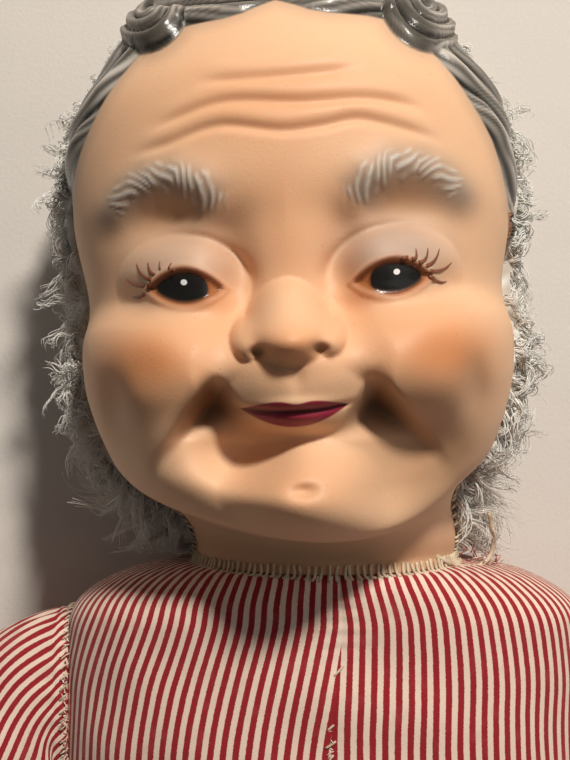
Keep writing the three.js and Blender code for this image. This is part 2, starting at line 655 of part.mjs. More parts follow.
function slipper(side) {
  return mirrored(loft([0, 0.06, 0.16, 0.3, 0.45, 0.6, 0.72, 0.84, 0.94, 1].map((t) => {
    const [high, wide] = slipperRow(t);
    const near = SLIPPER_SOLE_Y + SLIPPER_HEIGHT * Math.min(1, high);
    return slipperRing(SLIPPER_LENGTH * t, near, SLIPPER_SOLE_Y, SLIPPER_HALF_WIDTH * wide);
  })), side);
}

function sole(side) {
  const outline = new THREE.Shape();
  const half = SLIPPER_HALF_WIDTH - SOLE_LIP;
  const length = SLIPPER_LENGTH - SOLE_LIP;
  outline.moveTo(-half * 0.8, 0);
  outline.lineTo(half * 0.8, 0);
  outline.bezierCurveTo(half * 1.1, length * 0.3, half * 1.2, length, 0, length);
  outline.bezierCurveTo(-half * 1.2, length, -half * 1.1, length * 0.3, -half * 0.8, 0);
  const plate = new THREE.ExtrudeGeometry(outline, { depth: SOLE, bevelEnabled: false, curveSegments: 10 });
  plate.rotateX(QUARTER);
  plate.translate(LEG_U, SLIPPER_SOLE_Y - CLEARANCE, 0);
  plate.deleteAttribute('normal');
  plate.deleteAttribute('uv');
  return mirrored(mergeVertices(plate, 1e-4), side);
}

// The rolled seam that a leg hangs on, along the fold of the hip.
function hipSeam(side) {
  const length = 2 * (THIGH_HALF_WIDTH - 3);
  const roll = new THREE.CylinderGeometry(HIP_SEAM_RADIUS, HIP_SEAM_RADIUS, length, 10);
  roll.rotateZ(QUARTER);
  roll.translate(side * LEG_U, HIP_Y, HIP_Z);
  return geometryOf(solidOf(roll));
}

// Assembly

addPiece('face_mask', faceMask(), SKIN);
addPiece('head_stuffing', headStuffing(), FILLING);
addPiece('torso_back', torsoPanel(false, -1, 1), STRIPE);
addPiece('torso_stuffing', torsoStuffing(), FILLING);

const neckTop = NECK_Y + CLEARANCE + THREAD;
const neckRing = NECK_RADIUS + CLEARANCE + THREAD;
addPiece('neck_thread', threadRing(point(0, neckTop, NECK_Z), neckRing, point(1, 0, 0), UP), THREAD_CREAM);

for (const [name, side] of [['left', 1], ['right', -1]]) {
  addPiece(`plush_${name}`, plushHalf(side), PLUSH);
  addPiece(`torso_front_${name}`, torsoPanel(true, Math.min(0, side), Math.max(0, side)), STRIPE);
  addPiece(`arm_cover_${name}`, armCover(side), STRIPE);
  addPiece(`arm_stuffing_${name}`, armStuffing(side), FILLING);
  addPiece(`hand_${name}`, hand(side), MITT);
  const seat = point(side * (ARMHOLE_X + 2 * CLEARANCE + THREAD), ARMHOLE_Y, ARMHOLE_Z);
  const ring = threadRing(seat, ARMHOLE_RADIUS + CLEARANCE + THREAD, point(0, 1, 0), UP);
  addPiece(`shoulder_thread_${name}`, ring, THREAD_CREAM);
  addPiece(`leg_cover_${name}`, legCover(side), STRIPE);
  addPiece(`leg_stuffing_${name}`, legStuffing(side), FILLING);
  addPiece(`slipper_${name}`, slipper(side), FELT);
  addPiece(`sole_${name}`, sole(side), FELT);
  addPiece(`hip_seam_${name}`, hipSeam(side), THREAD_CREAM);
}

export default doll;
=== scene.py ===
"""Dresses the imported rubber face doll: moulded face, plush wig, striped cotton, stitching and slippers."""

import bpy
import mathutils
import numpy as np
from bpy.props import FloatProperty, FloatVectorProperty, IntProperty, PointerProperty
from bpy.types import Operator, Panel, PropertyGroup
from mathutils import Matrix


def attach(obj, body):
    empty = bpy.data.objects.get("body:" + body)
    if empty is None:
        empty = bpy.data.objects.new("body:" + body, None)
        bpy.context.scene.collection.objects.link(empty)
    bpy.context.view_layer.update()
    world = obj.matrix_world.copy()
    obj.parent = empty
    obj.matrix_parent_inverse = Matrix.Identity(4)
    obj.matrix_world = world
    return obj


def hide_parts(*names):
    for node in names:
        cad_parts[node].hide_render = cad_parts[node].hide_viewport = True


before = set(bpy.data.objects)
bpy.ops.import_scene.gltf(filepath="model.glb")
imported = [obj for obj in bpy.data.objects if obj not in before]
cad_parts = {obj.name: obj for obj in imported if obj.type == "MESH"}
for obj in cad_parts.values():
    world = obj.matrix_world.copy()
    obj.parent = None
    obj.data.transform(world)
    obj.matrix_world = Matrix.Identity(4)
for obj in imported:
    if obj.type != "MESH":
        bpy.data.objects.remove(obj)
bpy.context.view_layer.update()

bl_info = {
    "name": "Rubber face doll",
    "version": (1, 0, 0),
    "blender": (4, 5, 0),
    "location": "View3D > Sidebar > Doll",
    "description": "Moulded face, plush, striped cloth, stitching and slippers on the packed doll",
    "category": "Add Mesh",
}

# Lengths in this file are millimetres until a mesh is made. A unit of a piece's map is a tenth of a metre.
MM = 0.001
MAP_UNIT = 100.0
TAU = 2 * np.pi
QUARTER = np.pi / 2
SIDES = (("left", 1.0), ("right", -1.0))

# The head, after the solids: place, height above the neck seam, rise at the sides, half width,
# rim, front, back and fullness of the section.
HEAD_ROWS = np.array([
    (0, 0.3, 0, 35.5, 42, 77.5, 6.5, 1),
    (1, 4, 0, 35.5, 42, 77.5, 6.5, 1),
    (2, 9.5, 5, 36.5, 46, 85, 4, 0.95),
    (3, 10.8, 11.5, 42, 49, 95, 2, 0.86),
    (4, 13.2, 15.5, 48.5, 52, 101, 0, 0.8),
    (5, 21, 16.5, 52.5, 52, 104, -0.5, 0.78),
    (6, 35, 11, 55.2, 52, 104.5, -0.5, 0.8),
    (7, 45, 7, 56, 52, 106, -0.5, 0.8),
    (8, 57, 3, 56, 52, 106, -0.5, 0.8),
    (9, 71, 0, 54, 52, 104, -0.5, 0.8),
    (10, 92, 0, 57, 52, 107, -0.5, 0.8),
    (11, 117, -2, 55, 52, 105, -0.5, 0.82),
    (12, 132, -4, 47.5, 52, 97, 6, 0.86),
    (13, 146, -6, 39.8, 52, 84, 16, 0.9),
    (14, 156, -6, 27.8, 52, 69, 31, 0.95),
    (14.8, 161.4, -3, 12, 52, 57, 46, 1),
    (15, 162, -2, 7.8, 52, 52.1, 51.6, 1),
], float)
CROWN = HEAD_ROWS[-1, 0]
FACE_GRID = 312, 306
NECK_Y, NECK_Z, NECK_RADIUS = 85.0, 42.0, 35.5
HEAD_ROLL, HEAD_SHIFT, HEAD_TURN = np.radians(2.7), -4.9, np.radians(20)
FACE_SET = -1.9
PILE = 6.0
PILE_LOW = 86.5

# The torso, after the solids: height, half width, back and front of the section.
TORSO_ROWS = np.array([
    (-92, 57, 9, 11), (-87, 58, 6.5, 13), (-70, 63, -0.5, 32), (-46, 67, -0.5, 62), (-20, 71, -0.5, 77),
    (12, 71, -0.5, 79), (45, 71, -0.5, 79), (63, 70.5, 0, 78), (74, 67.5, 3, 78), (81, 56, 5.5, 78.5),
    (84, 43.5, 6.2, 77.8), (85, 35.5, 6.5, 77.5),
], float)
ARMHOLE = np.array((69.0, 45.0, 40.0))
ARMHOLE_RADIUS = 26.0

# Features of the face: across from the middle and up from the neck seam.
EYE_U, EYE_V, EYE_TILT, EYE_INNER = 24.5, 71.0, 0.05, 0.8
EYE_HALF, EYE_TOP, EYE_LOW = 8.7, 4.1, 3.8
IRIS_U, IRIS_V = 6.5, 4.35
LID_U, SOCKET_V = 25.0, 87.5
NOSE, NOSTRIL = np.array((-0.7, 61.4)), np.array((7.0, 55.4))
MOUTH_U, MOUTH_V, MOUTH_CURVE, MOUTH_HALF = -0.1, 41.9, 0.0085, 12.1
LIPS_V, LIP_TOP, LIP_LOW, LIP_NOTCH = 43.0, 1.5, 4.6, 0.9
LOCK, LOCK_SIZE = np.array((-29.8, 141.0)), np.array((9.2, 12.0))
CURL, CURL_SIZE = np.array((35.4, 138.6)), np.array((10.2, 13.2))
HAIRLINE = np.array([
    (0, 139.5), (4, 138), (8, 136.2), (12.5, 135.2), (22, 134.8), (27, 134), (31, 131.8), (35, 128), (38.5, 124),
    (42, 119.5), (45, 115), (48.5, 110), (51.5, 105), (54, 98.5), (56.3, 90),
], float)
BROW = np.array([(15.6, 88.8), (19.9, 94.1), (25.2, 97), (31.2, 97.1), (36.6, 94.8), (40.9, 91)], float)
FOLD = np.array([(11, 66), (13.5, 58), (16.8, 51), (21, 45.4), (27, 38), (34, 30), (42, 20)], float)
WRINKLES = (
    np.array([(-20, 118.2), (-16, 118.3), (-2, 118.2), (11, 119), (16, 119.6), (20, 119.8)], float),
    np.array([(-31, 108), (-27, 109.6), (-13.6, 113), (4.6, 112), (20.6, 112.4), (29.7, 111.2), (34, 110)], float),
    np.array([(-36, 103), (-26.3, 104.8), (-18.3, 107.1), (-12.6, 107.6), (0, 105.6), (9.1, 106.3),
              (17.1, 107.7), (24, 106.6), (34.2, 104), (38, 103)], float),
)

# Bells of the relief, of the sprayed blush and of the painted shade, as pairs on both sides or single: height, across,
# up, half width and half height.
RELIEF_PAIRS = (
    (-5.0, LID_U, SOCKET_V, 15, 6),  # socket under the brow
    (-3.4, 13.5, 82, 5, 8),          # beside the bridge of the nose
    (-5.2, 12, 71.5, 4.5, 7),        # inner corner of the eye
    (-3.4, 42.5, 45.5, 4.2, 7),      # behind the cheek
)
RELIEF_BELLS = (
    (1.0, 0, 78, 6.5, 10),           # bridge of the nose
    (-0.8, 0.7, 49.5, 1.8, 3),       # groove under the nose
    (2.0, 0.7, 39.8, 8.5, 2.3),      # lower lip
    (1.2, 0.7, 43.6, 8.5, 1.3),      # upper lip
    (-2.2, 1.1, 24.4, 3.2, 1.6),     # dimple of the chin
)
RELIEF_SWELLS = (
    (4.0, 0.9, 22, 15, 10.5),        # chin
    (-8.0, -12.5, 33, 10.5, 7),      # valley beside the lower lip
    (4.0, -28, 31, 10.5, 9.5),       # fuller jowl
    (-6.0, 30, 24, 13.5, 17),        # flatter jowl
)
BLUSH_PAIRS = ((0.95, 34, 54, 14, 9), (0.3, 16, 66, 6, 8))
BLUSH_BELLS = ((0.6, 0, 56, 9, 5), (0.35, 0, 25, 15, 6), (0.42, 0, 112, 30, 11), (0.35, 0, 86, 10, 14))
# The shade bells are painted shade: hollows and places in shadow, such as one jowl under its cheek and the groove under
# the nose.
SHADE_PAIRS = ((0.5, 13.5, 76, 3.5, 9), (0.45, 41, 46, 6, 9), (0.35, 28, 45, 9, 4))
SHADE_BELLS = ((0.8, 33, 31, 14, 10), (0.3, -50, 88, 9, 26), (0.45, 0, 50.5, 9, 4), (0.25, 0, 92, 9, 10))

# Second colours of the finishes.
# Pit shade is painted shade in the pits beside the mouth. The pale of the brow hairs is partly painted highlight.
PIT_SHADE, SPECK, BROW_HAIR_HIGHLIGHT = (0.13, 0.052, 0.020), (0.36, 0.20, 0.11), (0.66, 0.60, 0.53)
# The glint is a painted highlight on each eye.
LID_EDGE, LOW_RIM, GLINT = (0.50, 0.20, 0.08), (0.42, 0.15, 0.06), (0.92, 0.92, 0.90)
# The hair's groove colour is partly its dark paint and partly painted shade.
LIP_LINE, HAIR_GROOVE, HAIR_MIST = (0.05, 0.003, 0.007), (0.016, 0.013, 0.010), (0.34, 0.26, 0.20)
SLUB, WEAR, FADED = (0.66, 0.46, 0.35), (0.62, 0.42, 0.30), (0.42, 0.05, 0.06)
WORN_MITT, WARM_PILE, SOIL = (0.52, 0.27, 0.16), (0.70, 0.62, 0.50), (0.34, 0.24, 0.14)
BLEACHED, THIN_PAINT = (0.90, 0.82, 0.74), (0.24, 0.07, 0.03)

# The stage. Each lamp has a name, place, point that it looks at, diameter in metres, share of the key's power and tint.
LAMPS = (
    ("key", (240, 850, 860), (-8, 130, 80), 0.14, 1.0, (1.0, 0.95, 0.88)),
    ("side", (800, 350, 800), (0, 100, 60), 0.9, 0.08, (1.0, 0.96, 0.92)),
)
FLOOR_HALF, FLOOR_Z = 2600.0, -0.2
CAMERA_X, CAMERA_Y, SENSOR = -11.0, 133.8, 36.0
FOCAL_PIXELS, PICTURE_PIXELS = 1320.0, 760.0


# Small maths

def smoothstep(low, high, x):
    """0 below low, 1 above high, and an even S between them."""
    t = np.clip((x - low) / (high - low), 0.0, 1.0)
    return t * t * (3.0 - 2.0 * t)


def hill(du, dv, wide, tall):
    """A bell that falls to 1/e at the distances wide and tall from its middle."""
    return np.exp(-(du / wide) ** 2 - (dv / tall) ** 2)


def bell(away, wide):
    """A bell over zero that falls to 1/e at the distance wide."""
    return np.exp(-(away / wide) ** 2)


def swell(du, dv, wide, tall):
    """A bell with a flatter top and steeper sides: e to the minus cube of the distance from its middle."""
    return np.exp(-((du / wide) ** 2 + (dv / tall) ** 2) ** 1.5)


def bells(u, v, rows, form=hill):
    """The sum of a table of bells: height, across, up, half width and half height of each."""
    return sum(height * form(u - across, v - up, wide, tall) for height, across, up, wide, tall in rows)


def dome(du, dv, wide, tall, power=0.5):
    """A cap over an ellipse: one less the squared distance from the middle, to a power."""
    return np.clip(1.0 - (du / wide) ** 2 - (dv / tall) ** 2, 0.0, None) ** power


def signed_power(x, power):
    """A power that keeps the sign."""
    return np.sign(x) * np.abs(x) ** power


def through(rows, at):
    """Cubic pieces through rows of numbers whose first column is their place. The slope at a row is that
    between its two neighbours."""
    places, values = rows[:, 0], rows[:, 1:]
    slopes = np.empty_like(values)
    slopes[1:-1] = (values[2:] - values[:-2]) / (places[2:] - places[:-2])[:, None]
    slopes[0] = (values[1] - values[0]) / (places[1] - places[0])
    slopes[-1] = (values[-1] - values[-2]) / (places[-1] - places[-2])
    at = np.clip(np.asarray(at, float), places[0], places[-1])
    i = np.clip(np.searchsorted(places, at, side="right") - 1, 0, len(places) - 2)
    step = (places[i + 1] - places[i])[..., None]
    f = (at[..., None] - places[i][..., None]) / step
    return ((1 + 2 * f) * (1 - f) ** 2 * values[i] + f * (1 - f) ** 2 * step * slopes[i]
            + f * f * (3 - 2 * f) * values[i + 1] + f * f * (f - 1) * step * slopes[i + 1])


def line_distance(line, u, v):
    """Distance to a row of straight pieces, the share of the way along it, and on which side a point lies:
    positive on the left hand of the way from its first point to its last."""
    best = np.full(np.shape(u), 1e9)
    along = np.zeros(np.shape(u))
    side = np.ones(np.shape(u))
    lengths = np.hypot(*np.diff(line, axis=0).T)
    walked = np.concatenate(([0.0], np.cumsum(lengths)))
    for k, length in enumerate(lengths):
        a, d = line[k], (line[k + 1] - line[k]) / length
        t = np.clip((u - a[0]) * d[0] + (v - a[1]) * d[1], 0.0, length)
        dx, dy = u - a[0] - t * d[0], v - a[1] - t * d[1]
        away = np.hypot(dx, dy)
        near = away < best
        best = np.where(near, away, best)
        along = np.where(near, (walked[k] + t) / walked[-1], along)
        side = np.where(near, np.sign(d[0] * (v - a[1]) - d[1] * (u - a[0])), side)
    return best, along, np.where(side == 0, 1.0, side)


def lumps(points, size, seed, waves=28):
    """Even unevenness, mostly from -1 to 1: a scaled sum of plane waves of about one size in random directions."""
    rng = np.random.default_rng(seed)
    ways = rng.normal(size=(waves, 3))
    ways *= (TAU / size * rng.uniform(0.6, 1.4, waves) / np.linalg.norm(ways, axis=1))[:, None]
    starts = rng.uniform(0, TAU, waves)
    total = np.zeros(points.shape[:-1])
    for way, start in zip(ways, starts):
        total += np.sin(points @ way + start)
    return total * np.sqrt(2.0 / waves) * 0.5


def unit(vectors):
    """Vectors of length one."""
    return vectors / np.maximum(np.linalg.norm(vectors, axis=-1, keepdims=True), 1e-9)


def grounded(points, least=0.0):
    """Points of which none lies lower than the floor, or than a little above it."""
    points[..., 2] = np.maximum(points[..., 2], least)
    return points


def grid_normals(points):
    """Normals of a grid of points, from the steps along its rows and columns."""
    return unit(np.cross(np.gradient(points, axis=1), np.gradient(points, axis=0)))


# Meshes

def grid_faces(rows, columns, wrap=False):
    """Quads between the points of a grid that is stored row by row. With wrap, the last column joins the first."""
    r = np.arange(rows - 1)[:, None] * columns
    c = np.arange(columns if wrap else columns - 1)[None, :]
    n = (c + 1) % columns
    return np.stack([r + c, r + n, r + columns + n, r + columns + c], -1).reshape(-1, 4)


def outward(points, faces):
    """Faces turned so that, taken together, they look away from the middle of the points."""
    corner = points[faces]
    normal = np.cross(corner[:, 1] - corner[:, 0], corner[:, 2] - corner[:, 0])
    away = corner.mean(1) - points.mean(0)
    return faces[:, ::-1] if np.einsum("ij,ij->", normal, away) < 0 else faces


def add_piece(name, points, faces, finish, body, slot, uv=None, values=None, replaces=()):
    """A mesh object at the origin, in metres, that rides on a body of the frame. Its map comes in millimetres."""
    points = np.asarray(points, float).reshape(-1, 3)
    mesh = bpy.data.meshes.new(name)
    mesh.vertices.add(len(points))
    mesh.vertices.foreach_set("co", (points * MM).astype(np.float32).ravel())
    mesh.loops.add(faces.size)
    mesh.loops.foreach_set("vertex_index", faces.astype(np.int32).ravel())
    mesh.polygons.add(len(faces))
    mesh.polygons.foreach_set("loop_start", np.arange(0, faces.size, faces.shape[1], dtype=np.int32))
    mesh.polygons.foreach_set("use_smooth", np.ones(len(faces), dtype=bool))
    if uv is not None:
        layer = mesh.uv_layers.new(name="surface")
        layer.data.foreach_set("uv", (uv.reshape(-1, 2)[faces.ravel()] / MAP_UNIT).astype(np.float32).ravel())
    for key, value in (values or {}).items():
        layer = mesh.attributes.new(key, "FLOAT", "POINT")
        layer.data.foreach_set("value", np.asarray(value, np.float32).ravel())
    mesh.update(calc_edges=True)
    mesh.validate()
    mesh.materials.append(finish)
    piece = bpy.data.objects.new(name, mesh)
    bpy.context.scene.collection.objects.link(piece)
    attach(piece, body)
    if replaces:
        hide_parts(*replaces)
    return piece


def add_sheet(name, grid, finish, body, slot, wrap=False, **more):
    """A piece from a grid of points whose faces look outwards. With wrap, the grid is a tube."""
    faces = outward(grid.reshape(-1, 3), grid_faces(*grid.shape[:2], wrap))
    return add_piece(name, grid, faces, finish, body, slot, **more)


def threads(paths, radii, sides):
    """Round threads along many paths of equal counts: rings square to the path, closed by a face at each end."""
    count, steps = paths.shape[:2]
    radii = np.broadcast_to(radii, (count, steps))[..., None, None]
    ahead = unit(np.gradient(paths, axis=1))
    chord = unit(paths[:, -1] - paths[:, 0])
    helper = np.where(np.abs(chord[:, 2:]) > 0.8, (1.0, 0.0, 0.0), (0.0, 0.0, 1.0))
    across = unit(np.cross(ahead, helper[:, None]))
    up = np.cross(across, ahead)
    turn = np.arange(sides) * TAU / sides
    ring = np.cos(turn)[:, None] * across[:, :, None] + np.sin(turn)[:, None] * up[:, :, None]
    rings = paths[:, :, None] + radii * ring
    quads = grid_faces(steps, sides, wrap=True)
    walls = np.concatenate([quads[:, [0, 1, 2]], quads[:, [0, 2, 3]]])
    fan = np.stack([np.zeros(sides - 2, int), np.arange(1, sides - 1), np.arange(2, sides)], -1)
    one = np.concatenate([walls, fan[:, ::-1], fan + (steps - 1) * sides])
    faces = (one[None] + (np.arange(count) * steps * sides)[:, None, None]).reshape(-1, 3)
    return rings.reshape(-1, 3), faces[:, ::-1]


# Shader maths

class Signal:
    """A socket of a finish with arithmetic on it: each operator adds the Math node that works it out."""

    def __init__(self, finish, socket):
        self.finish, self.socket = finish, socket

    def math(self, operation, *values):
        return self.finish.node("ShaderNodeMath", {"operation": operation}, dict(enumerate((self, *values))))

    def __add__(self, other):
        return self.math("ADD", other)

    def __sub__(self, other):
        return self.math("SUBTRACT", other)

    def __rsub__(self, other):
        return self.finish.node("ShaderNodeMath", {"operation": "SUBTRACT"}, {0: other, 1: self})

    def __mul__(self, other):
        return self.math("MULTIPLY", other)

    def __truediv__(self, other):
        return self.math("DIVIDE", other)

    def __abs__(self):
        return self.math("ABSOLUTE")

    __radd__, __rmul__ = __add__, __mul__

    def least(self, other):
        return self.math("MINIMUM", other)

    def wave(self, pitch):
        """A sine that repeats at the pitch."""
        return (self * (TAU / pitch)).math("SINE")

    def step(self, low, high):
        """0 at low, 1 at high, and an even S between them."""
        return self.finish.node("ShaderNodeMapRange", {"interpolation_type": "SMOOTHSTEP"},
                                {"Value": self, "From Min": low, "From Max": high})

    def bell(self, width):
        """A bell over zero that falls to 1/e at width."""
        scaled = self / width
        return (scaled * scaled * -1.0).math("EXPONENT")


class Finish:
    """A material whose nodes are written as expressions and end in one Principled shader."""

    def __init__(self, name, **constants):
        self.material = bpy.data.materials.new(name)
        self.material.use_nodes = True
        self.tree = self.material.node_tree
        self.shader = self.tree.nodes["Principled BSDF"]
        for socket, value in constants.items():
            self.shader.inputs[socket.replace("_", " ")].default_value = value

    def node(self, kind, settings=None, inputs=None, output=0):
        """Any node: its settings are set first, then its sockets take values or links."""
        node = self.tree.nodes.new(kind)
        for key, value in (settings or {}).items():
            setattr(node, key, value)
        for key, value in (inputs or {}).items():
            self.feed(node.inputs[key], value)
        return Signal(self, node.outputs[output])

    def feed(self, socket, value):
        if isinstance(value, Signal):
            self.tree.links.new(value.socket, socket)
        else:
            socket.default_value = value

    def surface(self):
        """The piece's own map, in millimetres across and along."""
        place = self.node("ShaderNodeUVMap", {"uv_map": "surface"})
        across = self.node("ShaderNodeSeparateXYZ", None, {0: place})
        along = Signal(self, across.socket.node.outputs[1])
        return across * MAP_UNIT, along * MAP_UNIT

    def value(self, name):
        return self.node("ShaderNodeAttribute", {"attribute_name": name}, None, 2)

    def noise(self, size, detail=2.0, where=None, roughness=0.5):
        """Noise whose lumps are about size millimetres, over the piece's own space unless told where."""
        where = where or self.node("ShaderNodeTexCoord", None, None, 3)
        inputs = {"Vector": where, "Scale": 1.0 / (size * MM), "Detail": detail, "Roughness": roughness}
        return self.node("ShaderNodeTexNoise", None, inputs)

    def mix(self, a, b, share):
        """Colour a, going to colour b with the share."""
        return self.node("ShaderNodeMix", {"data_type": "RGBA"}, {0: share, 6: opaque(a), 7: opaque(b)}, 2)

    def coats(self, base, *layers):
        """A base colour under coats of others, each with its share of cover, in order."""
        for paint, share in layers:
            base = self.mix(base, paint, share)
        return base

    def bump(self, height, depth):
        """Normals from a height of 0 to 1 that stands for depth millimetres."""
        normal = self.node("ShaderNodeBump", None, {"Height": height, "Distance": depth * MM, "Strength": 1.0})
        self.feed(self.shader.inputs["Normal"], normal)

    def finish(self, colour, roughness=None):
        self.feed(self.shader.inputs["Base Color"], colour)
        if roughness is not None:
            self.feed(self.shader.inputs["Roughness"], roughness)
        return self.material


def opaque(colour):
    """A colour with full cover, or a signal as it is."""
    return colour if isinstance(colour, Signal) else (*tuple(colour)[:3], 1.0)


# Settings

def colour(name, description, default):
    return FloatVectorProperty(name=name, description=description, default=default, subtype="COLOR", min=0, max=1)


def length(name, description, default):
    """A length in metres whose default is given in millimetres."""
    return FloatProperty(name=name, description=description, default=default * MM, unit="LENGTH", precision=4)


def count(name, description, default, **limits):
    return IntProperty(name=name, description=description, default=default, **limits)


class DollFaceSettings(PropertyGroup):
    """Colours and relief of the moulded face."""
    skin: colour("Skin", "Bare rubber", (0.85, 0.52, 0.31))
    blush: colour("Blush", "Airbrushed orange of cheeks, nose, chin and wrinkles", (0.70, 0.26, 0.09))
    # Shade is painted shade, sprayed over the hollows and the places in shadow.
    shade: colour("Shade", "Brown sprayed into the hollows", (0.34, 0.15, 0.06))
    # The lids' grey is partly their own colour and partly painted shade.
    lid: colour("Lids", "Greyish upper lids", (0.49, 0.355, 0.28))
    hair: colour("Hair", "Painted hair between the ridges", (0.095, 0.083, 0.068))
    # The silver on the crests of the hair is partly dry-brushed paint and partly painted highlight.
    silver_and_highlight: colour("Silver", "Dry-brushed ridges of the hair", (0.56, 0.51, 0.45))
    brow: colour("Brow", "Airbrushed grey of the brows", (0.26, 0.21, 0.17))
    iris: colour("Iris", "Painted iris", (0.013, 0.012, 0.011))
    eye_white: colour("Eye", "Painted orange-brown beside the iris", (0.40, 0.15, 0.05))
    outline: colour("Outline", "Painted lid edge and lashes", (0.17, 0.047, 0.014))
    lips: colour("Lips", "Painted lips", (0.31, 0.020, 0.048))
    wrinkle: length("Wrinkles", "Depth of the lines on the forehead", 0.9)
    strand: length("Strands", "Depth of the grooves in the hair", 2.0)


class DollClothSettings(PropertyGroup):
    """Striped cotton, plain cotton and felt."""
    red: colour("Red", "Dark stripe", (0.32, 0.008, 0.014))
    cream: colour("Cream", "Pale stripe", (0.86, 0.66, 0.54))
    pitch: length("Stripe pitch", "From one red stripe to the next", 3.175)
    mitt: colour("Mitts", "Plain cotton of the hands", (0.72, 0.43, 0.28))
    felt: colour("Slippers", "Felt of the slippers", (0.24, 0.018, 0.026))
    thread: colour("Thread", "Sewing thread", (0.72, 0.60, 0.43))
    stitch: length("Stitch pitch", "From one overcast stitch to the next", 1.75)
    stitch_radius: length("Thread radius", "Half the thickness of the thread", 0.34)


class DollPlushSettings(PropertyGroup):
    """Curly pile of the wig."""
    pale: colour("Pale pile", "Tips of the curls", (0.93, 0.90, 0.83))
    # The dark pile colour is painted shade: it darkens the roots of the curls and the backing under them.
    shade: colour("Dark pile", "Roots of the curls", (0.56, 0.51, 0.43))
    edge_curls: count("Edge curls", "Tight tufts against the mask on each half", 350, min=10)
    rim_curls: count("Rim curls", "Tufts beside the mask on each half", 350, min=10)
    back_curls: count("Back curls", "Tufts on the rest of each half", 350, min=10)
    hairs: count("Hairs", "Hairs in each tuft", 8, min=1, max=12)
    pile: length("Pile", "Length of a hair", 15)


class DollStageSettings(PropertyGroup):
    """Floor, light and camera."""
    floor: colour("Floor", "Pale sheet that the doll lies on", (0.74, 0.68, 0.62))
    key: FloatProperty(name="Key light", description="Power of the main lamp above the head", default=12.5)
    fill: FloatProperty(name="Fill light", description="Strength of the even light all round", default=0.09)
    height: length("Camera height", "Above the surface that the doll lies on", 405)


# The head's forms

def roll_height(x):
    """The lowest that the back of the head may reach: a circle about the neck's axis, then its tangents."""
    away = np.abs(x)
    circle = NECK_Z - np.sqrt(np.clip(NECK_Z ** 2 - away ** 2, 0, None))
    tangent = NECK_Z - (NECK_Z - away * np.sin(HEAD_TURN)) / np.cos(HEAD_TURN)
    return np.where(away < NECK_Z * np.sin(HEAD_TURN), circle, tangent)


def lean(u, v, z):
    """The head's own across, up and out as points of the doll: turned and set sideways above the collar."""
    share = smoothstep(5, 24, v)
    c, s = np.cos(HEAD_ROLL * share), np.sin(HEAD_ROLL * share)
    x = u * c - v * s + HEAD_SHIFT * share
    return np.stack([x, u * s + v * c + NECK_Y, np.maximum(z, roll_height(x))], -1)


def eye_place(u, v):
    """Across and up from the middle of the nearer eye, along its tilt, for numbers or sockets."""
    across = abs(u) - EYE_U
    return across, v - EYE_V - EYE_TILT * across


def lid_edges(across, up):
    """How far a place lies below the upper lid's edge and above the lower one's: two parabolas over the eye."""
    reach = (across + EYE_INNER) / EYE_HALF
    bow = 1.0 - reach * reach
    return EYE_TOP * bow - up, up + EYE_LOW * bow


def mouth_line(u, v):
    """How far a place lies above the line between the lips, a shallow parabola."""
    return v - MOUTH_V - MOUTH_CURVE * (u - MOUTH_U) * (u - MOUTH_U)


def nose_form(u, v):
    """A ball that runs out softly into the bridge above, joined to its two wings, with the nostrils pressed in."""
    side, dv = np.abs(u - NOSE[0]), v - NOSE[1]
    power = 0.6 + 0.2 * smoothstep(-2, 7, dv) + 0.4 * smoothstep(-1, -8, dv)
    ball = 13.0 * dome(side, dv, 10.0, np.where(dv > 0, 10.8, 10.0), power)
    wing = 7.0 * dome(side - 9.0, dv + 2.4, 4.3, 5.4, 0.7)
    nostril = 2.2 * hill(side - NOSTRIL[0], v - NOSTRIL[1], 1.7, 1.0)
    return 2.0 * (np.logaddexp(ball / 2.0, wing / 2.0) - np.log(2.0)) - nostril


def pit_form(u, v, wall=0.0):
    """The wedge beside the mouth, between the edge of the muzzle and the fold of the cheek, open below. With a wall
    it reaches that much further up the cheek's ledge."""
    side, right = np.abs(u), smoothstep(-8, 8, u)
    low = 37.0 - 1.5 * right
    fold, _, hand = line_distance(FOLD, side, v)
    muzzle = 0.812 * (side - 20) - 0.584 * (v - 51) + 1.6 * (1 - right)
    return (smoothstep(-1.8, 3.8, muzzle) * smoothstep(2.0, -2.6, fold * hand - wall + 1.5 * right)
            * smoothstep(low - 1.5, low + 7.5, v) * smoothstep(54, 47.5, v))


